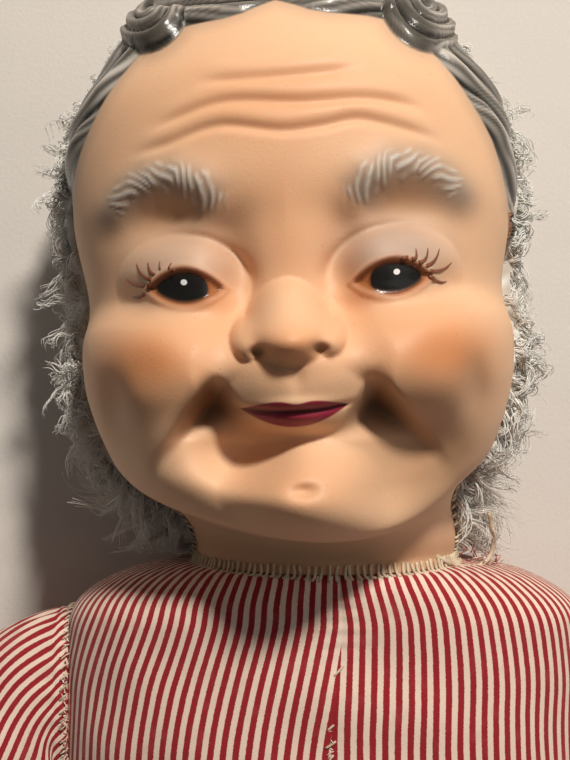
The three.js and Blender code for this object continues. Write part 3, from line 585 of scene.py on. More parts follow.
def face_relief(u, v):
    """The sum of the features that stand out of the smooth front: domes, bells and bells across lines. The cheek
    ends at its fold, softly beside the nose and as a ledge over the pit beside the mouth."""
    side = np.abs(u)
    eye = eye_place(u, v)[1]
    fold, _, hand = line_distance(FOLD, side, v)
    soft = smoothstep(46, 55, v)
    cheek = (swell(side - 33.5, v - 53.5, 19.0, np.where(v > 53.5, 15.5, 18.0)) * smoothstep(71, 62, v)
             * smoothstep(0, 1, (fold * hand + 2.4 + 5.5 * soft) / (4.4 + 11.0 * soft)))
    muzzle = swell(u - 0.7, v - 51.0, 18.0, np.where(v > 51.0, 9.5, 12.5))
    lid_u, lid_v = side - LID_U, eye - 1.4
    lid = (dome(lid_u, lid_v, 16.5, 11.6, 0.9) * smoothstep(-9.0, -1.5, eye)
           * (1 - 0.7 * smoothstep(5, 15, lid_u) * smoothstep(5, -3, eye)))
    brim = np.sqrt((lid_u / 15.5) ** 2 + (lid_v / 10.8) ** 2) - 1.02
    brim = bell(brim, 0.12) * smoothstep(-4, 5, lid_v) * smoothstep(8, -6, lid_u)
    brow = bell(line_distance(BROW, side, v)[0], 5.0)
    mouth = bell(mouth_line(u, v), 0.7) * smoothstep(15.0, 11.5, np.abs(u - MOUTH_U))
    under_lip = hill(u - 0.7, v - 35.8 - 0.012 * u * u, 10, 1.8)
    chin = dome(u - 0.9, v - 22.5, 20.0, 14.0, 1.8)
    return (2.4 * brow + 6.8 * lid - 1.5 * brim + nose_form(u, v) + 13.0 * cheek - 8.0 * pit_form(u, v) + 10.5 * muzzle
            - 1.0 * mouth - 1.5 * under_lip + 8.5 * chin + bells(side, v, RELIEF_PAIRS) + bells(u, v, RELIEF_BELLS)
            + bells(u, v, RELIEF_SWELLS, swell))


def ridges(phase, sharp):
    """Rounded ridges with narrow grooves between them, one for each whole number of the phase."""
    return np.abs(np.sin(np.pi * phase)) ** sharp


def hair_field(u, v):
    """How far a point lies inside the moulded hair, the height of the hair, the groove of its locks and the streaks
    along them. Beside the forehead the locks leave the hairline at a slant, and on the crown they run back. On one
    side they bend round in a hook, on the other they wind up in a curl."""
    edge, along, hand = line_distance(HAIRLINE, np.abs(u), v)
    band = edge * hand
    du = np.where(u < 0, (u - LOCK[0]) / LOCK_SIZE[0], (u - CURL[0]) / CURL_SIZE[0])
    dv = np.where(u < 0, (v - LOCK[1]) / LOCK_SIZE[1], (v - CURL[1]) / CURL_SIZE[1])
    radius, turn = np.hypot(du, dv), np.arctan2(dv, du) / TAU
    gap = np.where(u < 0, smoothstep(0.1, 0.4, du) * smoothstep(-0.3, 0.0, dv), 0)
    in_curl = smoothstep(1.05, 0.95, radius) * (1 - gap)
    inside = np.maximum(band, 9.0 * (1 - radius))
    sweep = band / 5.2 - 3.6 * along + 0.2 * np.sin(v * 0.22)
    combed = (u + 1.4 * np.sin(v * 0.2)) / 7.5
    wind = 3.4 * radius - np.where(u < 0, 0.2, turn)
    back = smoothstep(6.5, 9.5, band) * smoothstep(0.7, 0.5, along) * (1 - in_curl)
    shares = ((sweep, (1 - back) * (1 - in_curl)), (combed, back), (wind, in_curl))
    lock = sum(ridges(phase, 0.85) * share for phase, share in shares)
    strand = sum(ridges(3.0 * phase + 0.2 * np.sin(v * 0.5), 0.8) * share for phase, share in shares)
    streak = strand ** 3 * (0.5 + 0.5 * np.sin(9.0 * along + 2.2 * sweep + 5.0 * turn * in_curl)) * lock
    height = (2.3 * smoothstep(-0.2, 2.2, inside) + 3.2 * dome(du, dv, 1, 1, 0.6) * (1 - gap)
              - 2.6 * hill(du, dv, 0.2, 0.2))
    return inside, height, 0.8 * lock + 0.2 * strand, streak


def brow_strokes(side, v):
    """Short raised hairs across the brow: waves along its line that lean outwards with the distance from it."""
    away, along, hand = line_distance(BROW, side, v)
    offset = away * hand
    phase = along * 12.0 - offset * 0.36 - 0.012 * offset * offset + 0.4 * np.sin(along * 19.0)
    ragged = 0.9 * np.sin(along * 37.0) + 0.7 * np.sin(along * 61.0)
    reach = smoothstep(3.8, 1.2, np.abs(offset - 0.3 - 0.6 * ragged)) * smoothstep(-0.02, 0.05, along)
    return ridges(phase + 0.5, 3.0) * reach * smoothstep(1.0, 0.95, along), away, along


def wrinkle_depth(u, v):
    """Grooves along the lines of the forehead, each with a soft roll above it, fading at its ends."""
    total = np.zeros_like(u)
    for line in WRINKLES:
        away, (first, last) = v - through(line, u)[..., 0], line[[0, -1], 0]
        ends = smoothstep(first - 1, first + 9, u) * smoothstep(last + 1, last - 9, u)
        total += ends * (0.55 * bell(away - 2.8, 2.2) - bell(away, 1.15))
    return total


def front_form(place, angle):
    """The smooth front of the head: half width times the sine across, and the cosine to a power outwards."""
    v, rise, width, rim, front, _, full = np.moveaxis(through(HEAD_ROWS, place), -1, 0)
    across, facing = np.sin(angle), np.clip(np.cos(angle), 0, None)
    u, v = width * across, v + rise * across ** 2
    fade = smoothstep(0.02, 0.4, facing) * smoothstep(2, 4, place)
    return u, v, rim + (front - rim) * facing ** full, fade


def face_surface(place, angle, settings):
    """The moulded front as points of the doll, with its own across and up and the paint's masks."""
    u, v, z, fade = front_form(place, angle)
    form = lean(u, v, z + face_relief(u - FACE_SET, v) * fade)
    u = u - FACE_SET
    inside, height, groove, streak = hair_field(u, v)
    stroke, brow_away, brow_along = brow_strokes(np.abs(u), v)
    hair = height + (settings.strand / MM) * (groove - 1.0) * smoothstep(0.2, 1.8, inside)
    opening = np.minimum(*lid_edges(*eye_place(u, v)))
    detail = (hair * smoothstep(-0.5, 0.5, inside) + (settings.wrinkle / MM) * wrinkle_depth(u, v)
              + 0.42 * stroke - 0.9 * smoothstep(-0.15, 0.5, opening)
              + 0.5 * bell(opening + 0.9, 0.8) * smoothstep(-4, -1, opening)) * smoothstep(3, 5, place)
    masks = {
        "hair": inside,
        "groove": groove,
        "streak": streak,
        "stroke": stroke,
        "brow": bell(brow_away, 5.2) * smoothstep(-0.05, 0.1, brow_along),
        # Painted shade in the pits beside the mouth, reaching up their walls.
        "pit": pit_form(u, v, 2.2) ** 0.7,
        "blush": blush_mask(u, v),
        "shade": shade_mask(u, v),
        # The lids' grey, partly painted shade, heavier on one lid.
        "lid": swell(np.abs(u) - LID_U, v - 77.5, 14, 8.5) * (0.7 + 0.3 * smoothstep(-5, 5, u)),
    }
    return form + grid_normals(form) * detail[..., None], np.stack([u, v], -1), masks


def blush_mask(u, v):
    """Where the orange is sprayed: bells over cheeks, nose, chin, wrinkles and between the brows."""
    return np.clip(bells(np.abs(u), v, BLUSH_PAIRS) + bells(u, v, BLUSH_BELLS), 0, 1)


def shade_mask(u, v):
    """Where brown is sprayed into hollows as painted shade: nostrils, jowl, temple, under nose and brows, eye corners,
    cheeks and neck. Under the brows it is heavier on one side, and partly the doll's own airbrushed grey-brown.
    """
    side = np.abs(u)
    nostril = hill(np.abs(u - NOSE[0]) - NOSTRIL[0], v - NOSTRIL[1], 2.1, 1.1)
    socket = (0.92 - 0.2 * smoothstep(-5, 5, u)) * hill(side - LID_U, v - SOCKET_V, 15, 5.5)
    return np.clip(1.3 * nostril + socket + 0.45 * smoothstep(12, 5, v) + bells(side, v, SHADE_PAIRS)
                   + bells(u, v, SHADE_BELLS), 0, 1)


def on_face(u, v, settings):
    """Points of the moulded front at given places across and up, found by a few rounds of correction, and the way
    out of it there."""
    table = np.linspace(2.0, CROWN, 800)
    rows = through(HEAD_ROWS, table)
    place = np.interp(v, rows[:, 0], table)
    for _ in range(12):
        width, rise = np.interp(place, table, rows[:, 2]), np.interp(place, table, rows[:, 1])
        angle = np.arcsin(np.clip((u + FACE_SET) / width, -1, 1))
        place = np.interp(v - rise * np.sin(angle) ** 2, rows[:, 0], table)
    step = 0.004
    near = face_surface(np.stack([place - step, place, place + step], 0)[..., None]
                        + np.zeros(3), angle[None, :, None] + np.array([-step, 0, step]), settings)[0]
    across, up = near[1, :, 2] - near[1, :, 0], near[2, :, 1] - near[0, :, 1]
    normal = unit(np.cross(across, up))
    return near[1, :, 1], normal * np.sign(normal[:, 2:])


def rolled(points):
    """A grid with two more rows and columns all round, on by a hair and then turned in towards its middle, so that
    no edge is bare and none bends the shading of the grid."""
    middle = points.mean((0, 1))
    for axis in (0, 1):
        first, second, third, last = (np.take(points, [k], axis) for k in (0, 1, -2, -1))
        first, last = first + 0.03 * (first - second), last + 0.03 * (last - third)
        start, end = (edge + unit(middle - edge) * (1.6, 0.2, 1.6) for edge in (first, last))
        points = np.concatenate([start, first, points, last, end], axis)
    return points


def padded_like(grid):
    """The values of a grid repeated twice more past each of its edges."""
    return np.pad(grid, [(2, 2), (2, 2)] + [(0, 0)] * (grid.ndim - 2), mode="edge")


# Finishes

def rubber_face(settings):
    """Satin rubber with sprayed blush and brows, painted eyes, lips and hair, and fine pores. Painted shade lies in the
    hollows and shadowed places, and painted highlights on the eyes, the brow hairs and the crests of the hair.
    """
    f = Finish("rubber_face", Roughness=0.5, Specular_IOR_Level=0.38, Subsurface_Weight=0.3, Subsurface_Scale=0.004,
               Subsurface_Radius=(1.0, 0.4, 0.2))
    u, v = f.surface()
    pores, blotch, specks = f.noise(0.7), f.noise(14.0, 3.0), f.noise(1.0, 1.0, None, 0.4).step(0.77, 0.80)
    inside, groove = f.value("hair"), f.value("groove")

    du, dv = eye_place(u, v)
    top, bottom = lid_edges(du, dv)
    opening = top.least(bottom)
    within = opening.step(-0.1, 0.25)
    iris_u, iris_v = du / IRIS_U, (dv - 0.1) / IRIS_V
    iris = 1.0 - (iris_u * iris_u + iris_v * iris_v).math("SQRT")
    glint_u, glint_v = u - (u.math("SIGN") * EYE_U + 0.35), dv - 1.25
    glint = (1.0 - (glint_u * glint_u * 1.5 + glint_v * glint_v * 2.0).math("SQRT")).step(-0.08, 0.12)
    rim = top.bell(0.62) * abs(du).step(10.2, 8.6) * bottom.step(-0.6, 0.2)
    low = bottom.bell(0.55) * abs(du).step(10.0, 7.6) * top.step(-0.6, 0.2)

    across = (u - MOUTH_U) / MOUTH_HALF
    arch = 1.0 - across * across
    upper = LIPS_V + LIP_TOP * arch - LIP_NOTCH * (u - 0.4).bell(2.6) - v
    lower = v - LIPS_V + LIP_LOW * arch
    red = upper.least(lower).step(-0.25, 0.3)

    skin = f.coats(
        settings.skin,
        (settings.blush, f.value("blush") * (0.72 + 0.4 * blotch)),
        # painted shade in the hollows and the places in shadow
        (settings.shade, f.value("shade") * (0.45 + 0.35 * blotch)),
        # painted shade in the pits beside the mouth
        (PIT_SHADE, f.value("pit") * 0.78),
        # the lids' grey, partly painted shade
        (settings.lid, f.value("lid") * 0.9),
        (settings.brow, f.value("brow") * (0.62 + 0.3 * blotch)),
        # pale on the brow hairs' crests: partly their colour, partly painted highlight
        (BROW_HAIR_HIGHLIGHT, f.value("stroke") * 0.8),
        (SPECK, specks * 0.35),
        (LID_EDGE, (opening + 1.2).step(-0.9, 1.1) * 0.55),
        (settings.eye_white, within),
        (settings.outline, within * (iris + 0.16).step(0.0, 0.16) * 0.8),
        (settings.iris, within * iris.step(-0.03, 0.03)),
        (LOW_RIM, low * 0.7),
        (settings.outline, rim * 0.92),
        # the glint: a painted highlight
        (GLINT, glint),
        (settings.lips, red * (0.9 + 0.2 * blotch)),
        (LIP_LINE, mouth_line(u, v).bell(0.45) * red * 0.8),
        (HAIR_MIST, (inside + 4.5).step(0.0, 5.0) * 0.42 * (0.6 + 0.5 * blotch)))
    # Silver on the crests and near black in the grooves of the hair: partly the paint, partly painted highlight and
    # shade.
    painted = f.mix(settings.hair, settings.silver_and_highlight, f.value("streak") * (0.8 + 0.6 * blotch))
    painted = f.mix(HAIR_GROOVE, painted, groove.step(0.12, 0.8))
    covered = inside.step(-0.35, 0.25)
    gloss = 0.54 - 0.27 * within - 0.06 * red - 0.27 * covered + 0.1 * (blotch - 0.5)
    f.bump(pores, 0.05)
    return f.finish(f.mix(skin, painted, covered), gloss)


def striped_cotton(settings, name, skew):
    """Printed stripes along the piece's map, skewed by a share of the height, over a plain weave."""
    f = Finish(name, Roughness=0.92, Sheen_Weight=0.12)
    across, along = f.surface()
    wander, fray, worn = f.noise(9.0) - 0.5, f.noise(0.5, 1.0) - 0.5, f.noise(6.0, 3.0)
    stripe = (across - skew * along + 0.35 * wander).wave(settings.pitch / MM)
    red = (stripe + 0.55 * fray).step(-0.24, 0.14)
    weave = across.wave(0.55) * along.wave(0.6) * 0.25 + 0.5
    stretched = f.node("ShaderNodeCombineXYZ", None, {0: across * 0.004, 1: along * 0.0012})
    slub = f.noise(0.9, 2.0, stretched)
    cream = f.coats(settings.cream, (SLUB, (slub * weave).step(0.2, 0.55) * 0.35),
                    (WEAR, (worn - 0.52).step(0.0, 0.25) * 0.3))
    dyed = f.mix(settings.red, FADED, (worn + 0.3 * fray).step(0.5, 0.8) * 0.5)
    f.bump(weave * 0.6 + slub * 0.5, 0.09)
    return f.finish(f.mix(cream, dyed, red))


def plain_cotton(settings):
    """Flesh-coloured plain weave for the mitts."""
    f = Finish("mitt_cotton", Roughness=0.9, Sheen_Weight=0.1)
    across, along = f.surface()
    weave = across.wave(0.6) * along.wave(0.6) * 0.5 + 0.5
    f.bump(weave * 0.7 + f.noise(1.2) * 0.4, 0.1)
    worn = (f.noise(8.0, 3.0) - 0.45).step(0.0, 0.4)
    return f.finish(f.mix(settings.mitt, WORN_MITT, worn * 0.4 + weave * 0.12))


def felt(settings, name, shade):
    """Matted felt: two sizes of noise in the colour and a fibrous bump."""
    f = Finish(name, Roughness=0.96, Sheen_Weight=0.25)
    fibre, cloud = f.noise(0.6, 4.0, None, 0.7), f.noise(7.0)
    base = tuple(c * shade for c in settings.felt)
    f.bump(fibre, 0.25)
    return f.finish(f.mix(base, tuple(min(1, c * 2.4 + 0.012) for c in base), fibre * 0.5 * (0.4 + cloud)))


def plush_pile(settings, name, tone):
    """Shiny synthetic fibre, dark at the root and pale at the tip, with warm and cool tufts. The dark at the root is
    painted shade deep in the pile.
    """
    f = Finish(name, Roughness=0.45, Sheen_Weight=0.9, Sheen_Roughness=0.4, Subsurface_Weight=0.15,
               Subsurface_Scale=0.006, Subsurface_Radius=(1.0, 0.9, 0.75))
    tuft = f.noise(7.0)
    body = f.mix(settings.shade, settings.pale, f.value("tip").step(0.0, tone))
    return f.finish(f.mix(body, WARM_PILE, (tuft - 0.45).step(0.0, 0.3) * 0.4), 0.3 + 0.3 * tuft)


def sewing_thread(settings):
    """Cotton thread with a rough surface and a little soil."""
    f = Finish("sewing_thread", Roughness=0.75)
    f.bump(f.noise(0.25, 1.0), 0.08)
    return f.finish(f.mix(settings.thread, SOIL, (f.noise(3.0) - 0.4).step(0.0, 0.35) * 0.6))


def frayed_cotton(settings):
    """Loose ends of the striped cloth, pale or red, with uneven dye."""
    f = Finish("frayed_cotton", Roughness=0.9)
    pale = f.mix(BLEACHED, settings.cream, f.noise(1.5))
    return f.finish(f.mix(pale, settings.red, f.value("dye") * (0.7 + 0.4 * f.noise(2.5))))


def lash_paint(settings):
    """Thin brown paint whose cover changes a little along a stroke."""
    f = Finish("lash_paint", Roughness=0.4)
    return f.finish(f.mix(settings.outline, THIN_PAINT, f.noise(1.5) * 0.7))


# Pieces

class DollOperator:
    """What the piece-making operators share."""
    bl_options = {"REGISTER", "UNDO"}

    def execute(self, context):
        self.build(context.scene)
        return {"FINISHED"}


class DOLL_OT_face(DollOperator, Operator):
    """Moulded rubber mask with its paint"""
    bl_idname = "doll.face"
    bl_label = "Face mask"

    def build(self, scene):
        settings = scene.doll_face
        place = np.linspace(0, CROWN, 4000)
        _, v, z, _ = front_form(place, np.zeros_like(place))
        walked = np.concatenate(([0.0], np.cumsum(np.hypot(np.diff(v), 0.6 * np.diff(z)))))
        rows = np.interp(np.linspace(0, walked[-1], FACE_GRID[0]), walked, place)
        s = np.linspace(-1, 1, FACE_GRID[1])
        points, uv, masks = face_surface(rows[:, None], QUARTER * (0.72 * s + 0.28 * s ** 3)[None], settings)
        add_sheet("moulded_face", rolled(points), rubber_face(settings), "head", "rubber_skin", uv=padded_like(uv),
                  values={key: padded_like(mask) for key, mask in masks.items()},
                  replaces=("face_mask", "head_stuffing"))
        self.lashes(settings)

    def lashes(self, settings):
        """Painted strokes: thin threads half sunk in the surface, from the lid's edge outwards and up."""
        strokes = np.array([
            ((3.4, 4.0), (4.8, 6.6)), ((5.2, 3.2), (7.8, 6.8)), ((6.6, 2.4), (10.8, 6.8)), ((7.4, 1.4), (14.0, 3.8)),
            ((7.6, 0.2), (12.6, -0.6)), ((1.4, 4.3), (2.0, 6.0)),
        ])
        t = np.linspace(0, 1, 14)
        start, end = strokes[:, 0, None], strokes[:, 1, None]
        bow = np.sin(np.pi * t)[:, None] * (0.56, -0.72)
        walk = start + (end - start) * t[:, None] + bow
        paths = []
        for sign in (-1.0, 1.0):
            spot, normal = on_face(sign * (EYE_U + walk[..., 0].ravel()), EYE_V + walk[..., 1].ravel(), settings)
            paths.append((spot + normal * 0.02).reshape(len(strokes), len(t), 3))
        points, faces = threads(np.concatenate(paths), 0.52 * (1 - t) ** 0.7 + 0.06, 6)
        add_piece("lashes", points, faces, lash_paint(settings), "head", "rubber_skin")


def back_form(place, angle, grow):
    """The back of the head: half width and pile times the sine across, and the cosine to a power backwards."""
    v, rise, width, rim, _, back, full = np.moveaxis(through(HEAD_ROWS, place), -1, 0)
    across, facing = np.sin(angle), np.clip(np.cos(angle), 0, None)
    pile = grow * smoothstep(4, 18, v)
    z = rim - 0.3 - np.clip(rim - 0.3 - back, 0, None) * facing ** full
    return (width + pile) * across, v + rise * across ** 2, z


class DOLL_OT_plush(DollOperator, Operator):
    """Curly plush of the back of the head"""
    bl_idname = "doll.plush"
    bl_label = "Plush wig"

    def build(self, scene):
        settings = scene.doll_plush
        backing = plush_pile(settings, "plush_backing", 0.8)
        curls = plush_pile(settings, "plush_curls", 0.6)
        counts = {"edge": settings.edge_curls, "rim": settings.rim_curls, "back": settings.back_curls}
        for seed, (name, side) in enumerate(SIDES):
            points = self.backing(side)
            # The backing is mostly the dark pile colour: painted shade under the curls.
            add_sheet(f"plush_backing_{name}", points, backing, "head", "plush",
                      values={"tip": 0.3 + 0.4 * lumps(points, 5.0, seed + 20)}, replaces=(f"plush_{name}",))
            for part, count in counts.items():
                points, faces, tip = self.tufts(settings, side, 7 * seed + len(part), count, part)
                add_piece(f"plush_{part}_{name}", points, faces, curls, "head", "plush", values={"tip": tip})

    def backing(self, side):
        """Half of the back from the rim to the seam, with a turned front edge and the unevenness of short pile."""
        place = np.linspace(0.02, CROWN, 110)[:, None]
        u, v, z = back_form(place, QUARTER * np.linspace(1, 0, 70)[None], PILE - 2.4)
        wide = through(HEAD_ROWS, place)[..., 2]
        lip = np.linspace(0, 1, 6)[None, :-1]
        edge = np.stack([wide - 1.5 + (u[:, :1] - wide + 1.5) * lip, v[:, :1] + 0 * lip,
                         z[:, :1] + 1.2 * np.sin(np.pi * lip)], -1)
        u, v, z = np.moveaxis(np.concatenate([edge, np.stack([u, v, z], -1)], 1), -1, 0)
        points = lean(side * np.maximum(u, 0.05), v, z)
        away = grid_normals(points)
        away *= np.sign((away * (points - points.mean((0, 1)))).sum(-1, keepdims=True).mean())
        height = 0.9 * lumps(points, 4.5, 3) * smoothstep(3, 14, v)
        return grounded(points + away * height[..., None], 0.1)

    def roots(self, rng, side, count, part):
        """Places on the back, crowded at the rim or spread over the rest, and the way that the pile stands there."""
        place = rng.uniform(0.9, 14.7, count)
        share = {"edge": 1 - 0.05 * rng.random(count), "rim": 1 - 0.22 * rng.random(count) ** 1.3,
                 "back": np.sqrt(rng.random(count)) * 0.92}[part]
        nearby = ((0, 0), (0.02, 0), (0, 0.02))
        forms = (back_form(place + up, QUARTER * share - turn, PILE - 2.6) for up, turn in nearby)
        root, above, beside = (lean(side * u, v, z) for u, v, z in forms)
        away = unit(np.cross(above - root, beside - root)) * -side
        if part != "back":
            root[:, 0] -= side * rng.uniform(0, 3.5, count)
            root[:, 2] += rng.uniform(-1, 2.0, count)
            away[:, 2] += rng.uniform(0.1, 1.3, count) * smoothstep(95, 125, root[:, 1])
        away = unit(away + rng.normal(scale=0.25, size=(count, 3)))
        away[:, 2] = np.maximum(away[:, 2], -0.3)
        return root, away

    def tufts(self, settings, side, seed, count, part):
        """Curls: hairs that leave one root together, bend over in an arc of a circle and wave about it. Towards the
        crown they are short. Down at the neck they hang straighter and stay above the shoulders that they pass."""
        rng = np.random.default_rng(seed + 5)
        hairs, steps = settings.hairs, 12
        root, away = self.roots(rng, side, count, part)
        low = smoothstep(8, 34, root[:, 2])
        neck = smoothstep(122, 100, root[:, 1])
        crown = smoothstep(197, 214, root[:, 1])
        hang = np.stack([0.9 * side * (1 - crown), -0.8 - 1.2 * neck, -0.2 + 0 * neck], -1)
        loose = rng.normal(size=(count, 3)) + hang
        comb = unit(loose - (loose * away).sum(-1, keepdims=True) * away)
        third = np.cross(away, comb)
        s = np.linspace(0, 1, steps)
        reach = (settings.pile / MM) * rng.uniform(0.6, 1.2, count) * (0.3 + 0.7 * low) * (0.5 if part == "edge" else 1)
        reach = reach * (1 - (0.25 if part == "back" else 0.75) * crown) * (1 + 0.3 * neck)
        bend = rng.uniform(1.9, 4.2, count) * (1 - 0.5 * neck)
        turns = rng.uniform(1.2, 2.6, count) * rng.choice([-1, 1], count) * (1 - 0.4 * neck)
        start, wide = rng.uniform(0, TAU, count), rng.uniform(0.35, 0.95, count)
        way = bend[:, None, None] * rng.uniform(0.85, 1.15, (count, hairs, 1)) * s
        arc = (reach / bend)[:, None, None] * rng.uniform(0.8, 1.15, (count, hairs, 1))
        phase = start[:, None] + rng.normal(scale=0.35, size=(count, hairs))
        phase = phase[..., None] + TAU * turns[:, None, None] * s
        swing = wide[:, None, None] * rng.uniform(0.7, 1.3, (count, hairs, 1)) * smoothstep(0, 0.3, s)
        paths = (root[:, None, None] + rng.normal(scale=0.55, size=(count, hairs, 1, 3))
                 + (arc * np.sin(way) + swing * np.cos(phase))[..., None] * away[:, None, None]
                 + (arc * (1 - np.cos(way)))[..., None] * comb[:, None, None]
                 + (swing * np.sin(phase))[..., None] * third[:, None, None])
        paths = grounded(paths.reshape(-1, steps, 3), 0.3)
        paths[..., 1] = PILE_LOW + 1.5 * np.logaddexp(0, (paths[..., 1] - PILE_LOW) / 1.5)
        thick = np.repeat(rng.uniform(0.13, 0.24, count), hairs)[:, None]
        points, faces = threads(paths, thick * (1.0 - 0.6 * s ** 2), 3)
        # Each tuft's tone at random, darker towards the root: painted shade deep in the pile.
        tone_and_root_shade = np.repeat(rng.uniform(0.5, 1.2, count), hairs)[:, None] * (0.5 + 0.5 * s ** 0.5)
        return points, faces, np.repeat(tone_and_root_shade, 3)


def torso_point(y, sweep, on_front):
    """The torso: width and depth of the row times powers of sine and cosine, cut flat at armholes and below."""
    width, back, front = np.moveaxis(through(TORSO_ROWS, y), -1, 0)
    middle = (back + front) / 2 + (NECK_Z - (back + front) / 2) * smoothstep(45, 84, y)
    turned = smoothstep(71, 85, y)
    full = (0.85 if on_front else 0.6) * (1 - turned) + turned
    angle = QUARTER * signed_power(sweep, 1 + 0.4 * (0 if on_front else 1 - turned))
    x = np.clip(width * signed_power(np.sin(angle), full), -ARMHOLE[0], ARMHOLE[0])
    rise = np.clip(np.cos(angle), 0, None) ** full
    z = middle + np.where(on_front, (front - middle) * rise, -(middle - back) * rise)
    return np.stack([x + 0 * z, y + 0 * z, np.maximum(z, 0.0)], -1)


def middle_seam(y):
    """The sweep at which the two front panels meet: to one side of the middle towards the neck."""
    return np.arcsin(2.4 * smoothstep(38, 84, y) / through(TORSO_ROWS, y)[..., 0]) / QUARTER


def arc_map(points, start):
    """A map in millimetres: the distance across each row from its start column, and the height along."""
    step = np.linalg.norm(np.diff(points, axis=1), axis=-1)
    walked = np.concatenate([np.zeros((len(points), 1)), np.cumsum(step, 1)], 1)
    return np.stack([walked - walked[:, start:start + 1], points[..., 1]], -1)


class DOLL_OT_torso(DollOperator, Operator):
    """Striped front panels and back panel of the body"""
    bl_idname = "doll.torso"
    bl_label = "Body cloth"

    def build(self, scene):
        settings = scene.doll_cloth
        rows = np.concatenate([np.linspace(-92, 66, 120), np.linspace(66.5, 82, 40), np.linspace(82.2, 85.2, 16)])
        rows = rows[:, None]
        seam = middle_seam(rows)
        for name, side in SIDES:
            sweep = seam + (side - seam) * np.linspace(0, 1, 110) ** 0.9
            points = self.sewn(torso_point(rows, sweep, True))
            uv = arc_map(points, 0)
            uv[..., 0] *= 1 + 0.09 * smoothstep(52, 84, uv[..., 1])
            cloth = striped_cotton(settings, f"striped_front_{name}", -0.07)
            piece = add_sheet(f"front_panel_{name}", rolled(points), cloth, "torso", "striped_cotton",
                              uv=padded_like(uv), replaces=(f"torso_front_{name}",))
        points = torso_point(rows, np.linspace(-1, 1, 150)[None], False)
        cloth = striped_cotton(settings, "striped_back", 0.0)
        piece = add_sheet("back_panel", points, cloth, "torso", "striped_cotton", uv=arc_map(points, 75),
                          replaces=("torso_back", "torso_stuffing"))

    def sewn(self, points):
        """A panel that rolls in at the middle seam, puckers along it and gathers towards the neck."""
        x, y = np.abs(points[..., 0] - points[:, :1, 0]), points[..., 1]
        sink = 0.45 * bell(x, 1.0) + 0.1 * np.sin(y * 1.9) * bell(x - 1.5, 3.0)
        turn = np.arctan2(points[..., 0], points[..., 2] - NECK_Z)
        gather = 0.35 * np.sin(turn * 58) * smoothstep(74, 84, y)
        cloud = 0.5 * lumps(points, 24.0, 8) * smoothstep(85, 70, y)
        points = points.copy()
        points[..., 2] += (gather + cloud - sink) * smoothstep(1.0, 0.85, x / ARMHOLE[0])
        return points


# Limbs

ARM_ROOT = np.array((71.8, 45.0, 40.0))
ARM_SEAM_X, SEAM_FLAT = 69.3, 0.58
ARM_WAY = np.array((np.sin(np.radians(30)), -np.cos(np.radians(30)), 0.0))
ARM_DROP = np.array((np.cos(np.radians(26)), -np.sin(np.radians(26)), 0.0))
STRIPE_WAY = unit(np.array((0.32, -0.95, 0.0)))
ARM_LENGTH, ARM_REACH, ARM_BEND, WRIST_RADIUS = 118.0, 18.0, 22.0, 17.0
ARM_ROWS = np.array([(0, 26), (0.18, 26), (0.5, 23), (0.85, 18.5), (1, WRIST_RADIUS)], float)
HAND_LENGTH, HAND_HALF_WIDTH, HAND_HALF_THICKNESS = 46.0, 19.0, 12.0
LEG_U, LEG_START, LEG_LENGTH = 32.0, -96.0, 144.0
LEG_ROWS = np.array([
    (0, 25, 9, 11), (4, 25, 7, 12.5), (18, 26.5, -0.5, 25), (36, 27, -0.5, 43), (56, 27, -0.5, 55),
    (96, 23, -0.5, 47.5), (LEG_LENGTH, 19, -0.5, 40),
], float)
SLIPPER_LENGTH, SLIPPER_HALF_WIDTH, SLIPPER_TOP, SLIPPER_SOLE = 76.0, 22.0, -240.3, -271.3
SLIPPER_ROWS = np.array([
    (0, 0.5, 0.75), (0.06, 0.75, 0.9), (0.25, 1, 0.98), (0.5, 1, 0.98), (0.68, 0.72, 1), (0.88, 0.52, 0.88),
    (1, 0.25, 0.5),
], float)
SOLE_THICKNESS, SOLE_HALF_WIDTH, SOLE_LENGTH = 3.0, 20.5, 74.5


def arm_line(t):
    """The arm's middle: a cubic curve that slopes down from the shoulder and reaches the wrist along the arm."""
    wrist = ARM_ROOT + ARM_WAY * (ARM_LENGTH - ARM_REACH) + (ARM_REACH, 0, 0)
    wrist[2] = WRIST_RADIUS
    a, b, c, d = ARM_ROOT, ARM_ROOT + ARM_DROP * ARM_BEND, wrist - ARM_WAY * ARM_LENGTH / 3, wrist
    t = np.asarray(t, float)[..., None]
    place = (1 - t) ** 3 * a + 3 * t * (1 - t) ** 2 * b + 3 * t * t * (1 - t) * c + t ** 3 * d
    way = 3 * (1 - t) ** 2 * (b - a) + 6 * t * (1 - t) * (c - b) + 3 * t * t * (d - c)
    return place, unit(way)


def arm_form(t, turn):
    """The sleeve: rings that turn from the plane of the armhole until they stand square to the arm's middle line,
    flat on the floor and on the body. Low in front at the armhole, they swell to circles. Below zero they stand in
    the seam."""
    centre, ahead = arm_line(np.clip(t, 0, 1))
    ahead = unit(np.array((1.0, 0, 0)) + (ahead - (1.0, 0, 0)) * smoothstep(0, 0.12, t)[..., None])
    up = unit(np.array((0, 0, 1.0)) - ahead[..., 2:] * ahead)
    across = np.cross(up, ahead)
    radius = through(ARM_ROWS, np.clip(t, 0, 1))
    rise = np.sin(turn) * np.where(np.sin(turn) > 0, 1 - (1 - SEAM_FLAT) * smoothstep(0.35, 0.02, t), 1)
    points = centre + radius * (np.cos(turn)[..., None] * across + rise[..., None] * up)
    x = np.where(t < 0, ARM_SEAM_X, np.maximum(points[..., 0], ARM_ROOT[0]))
    return np.stack([x, points[..., 1], np.maximum(points[..., 2], 0)], -1)


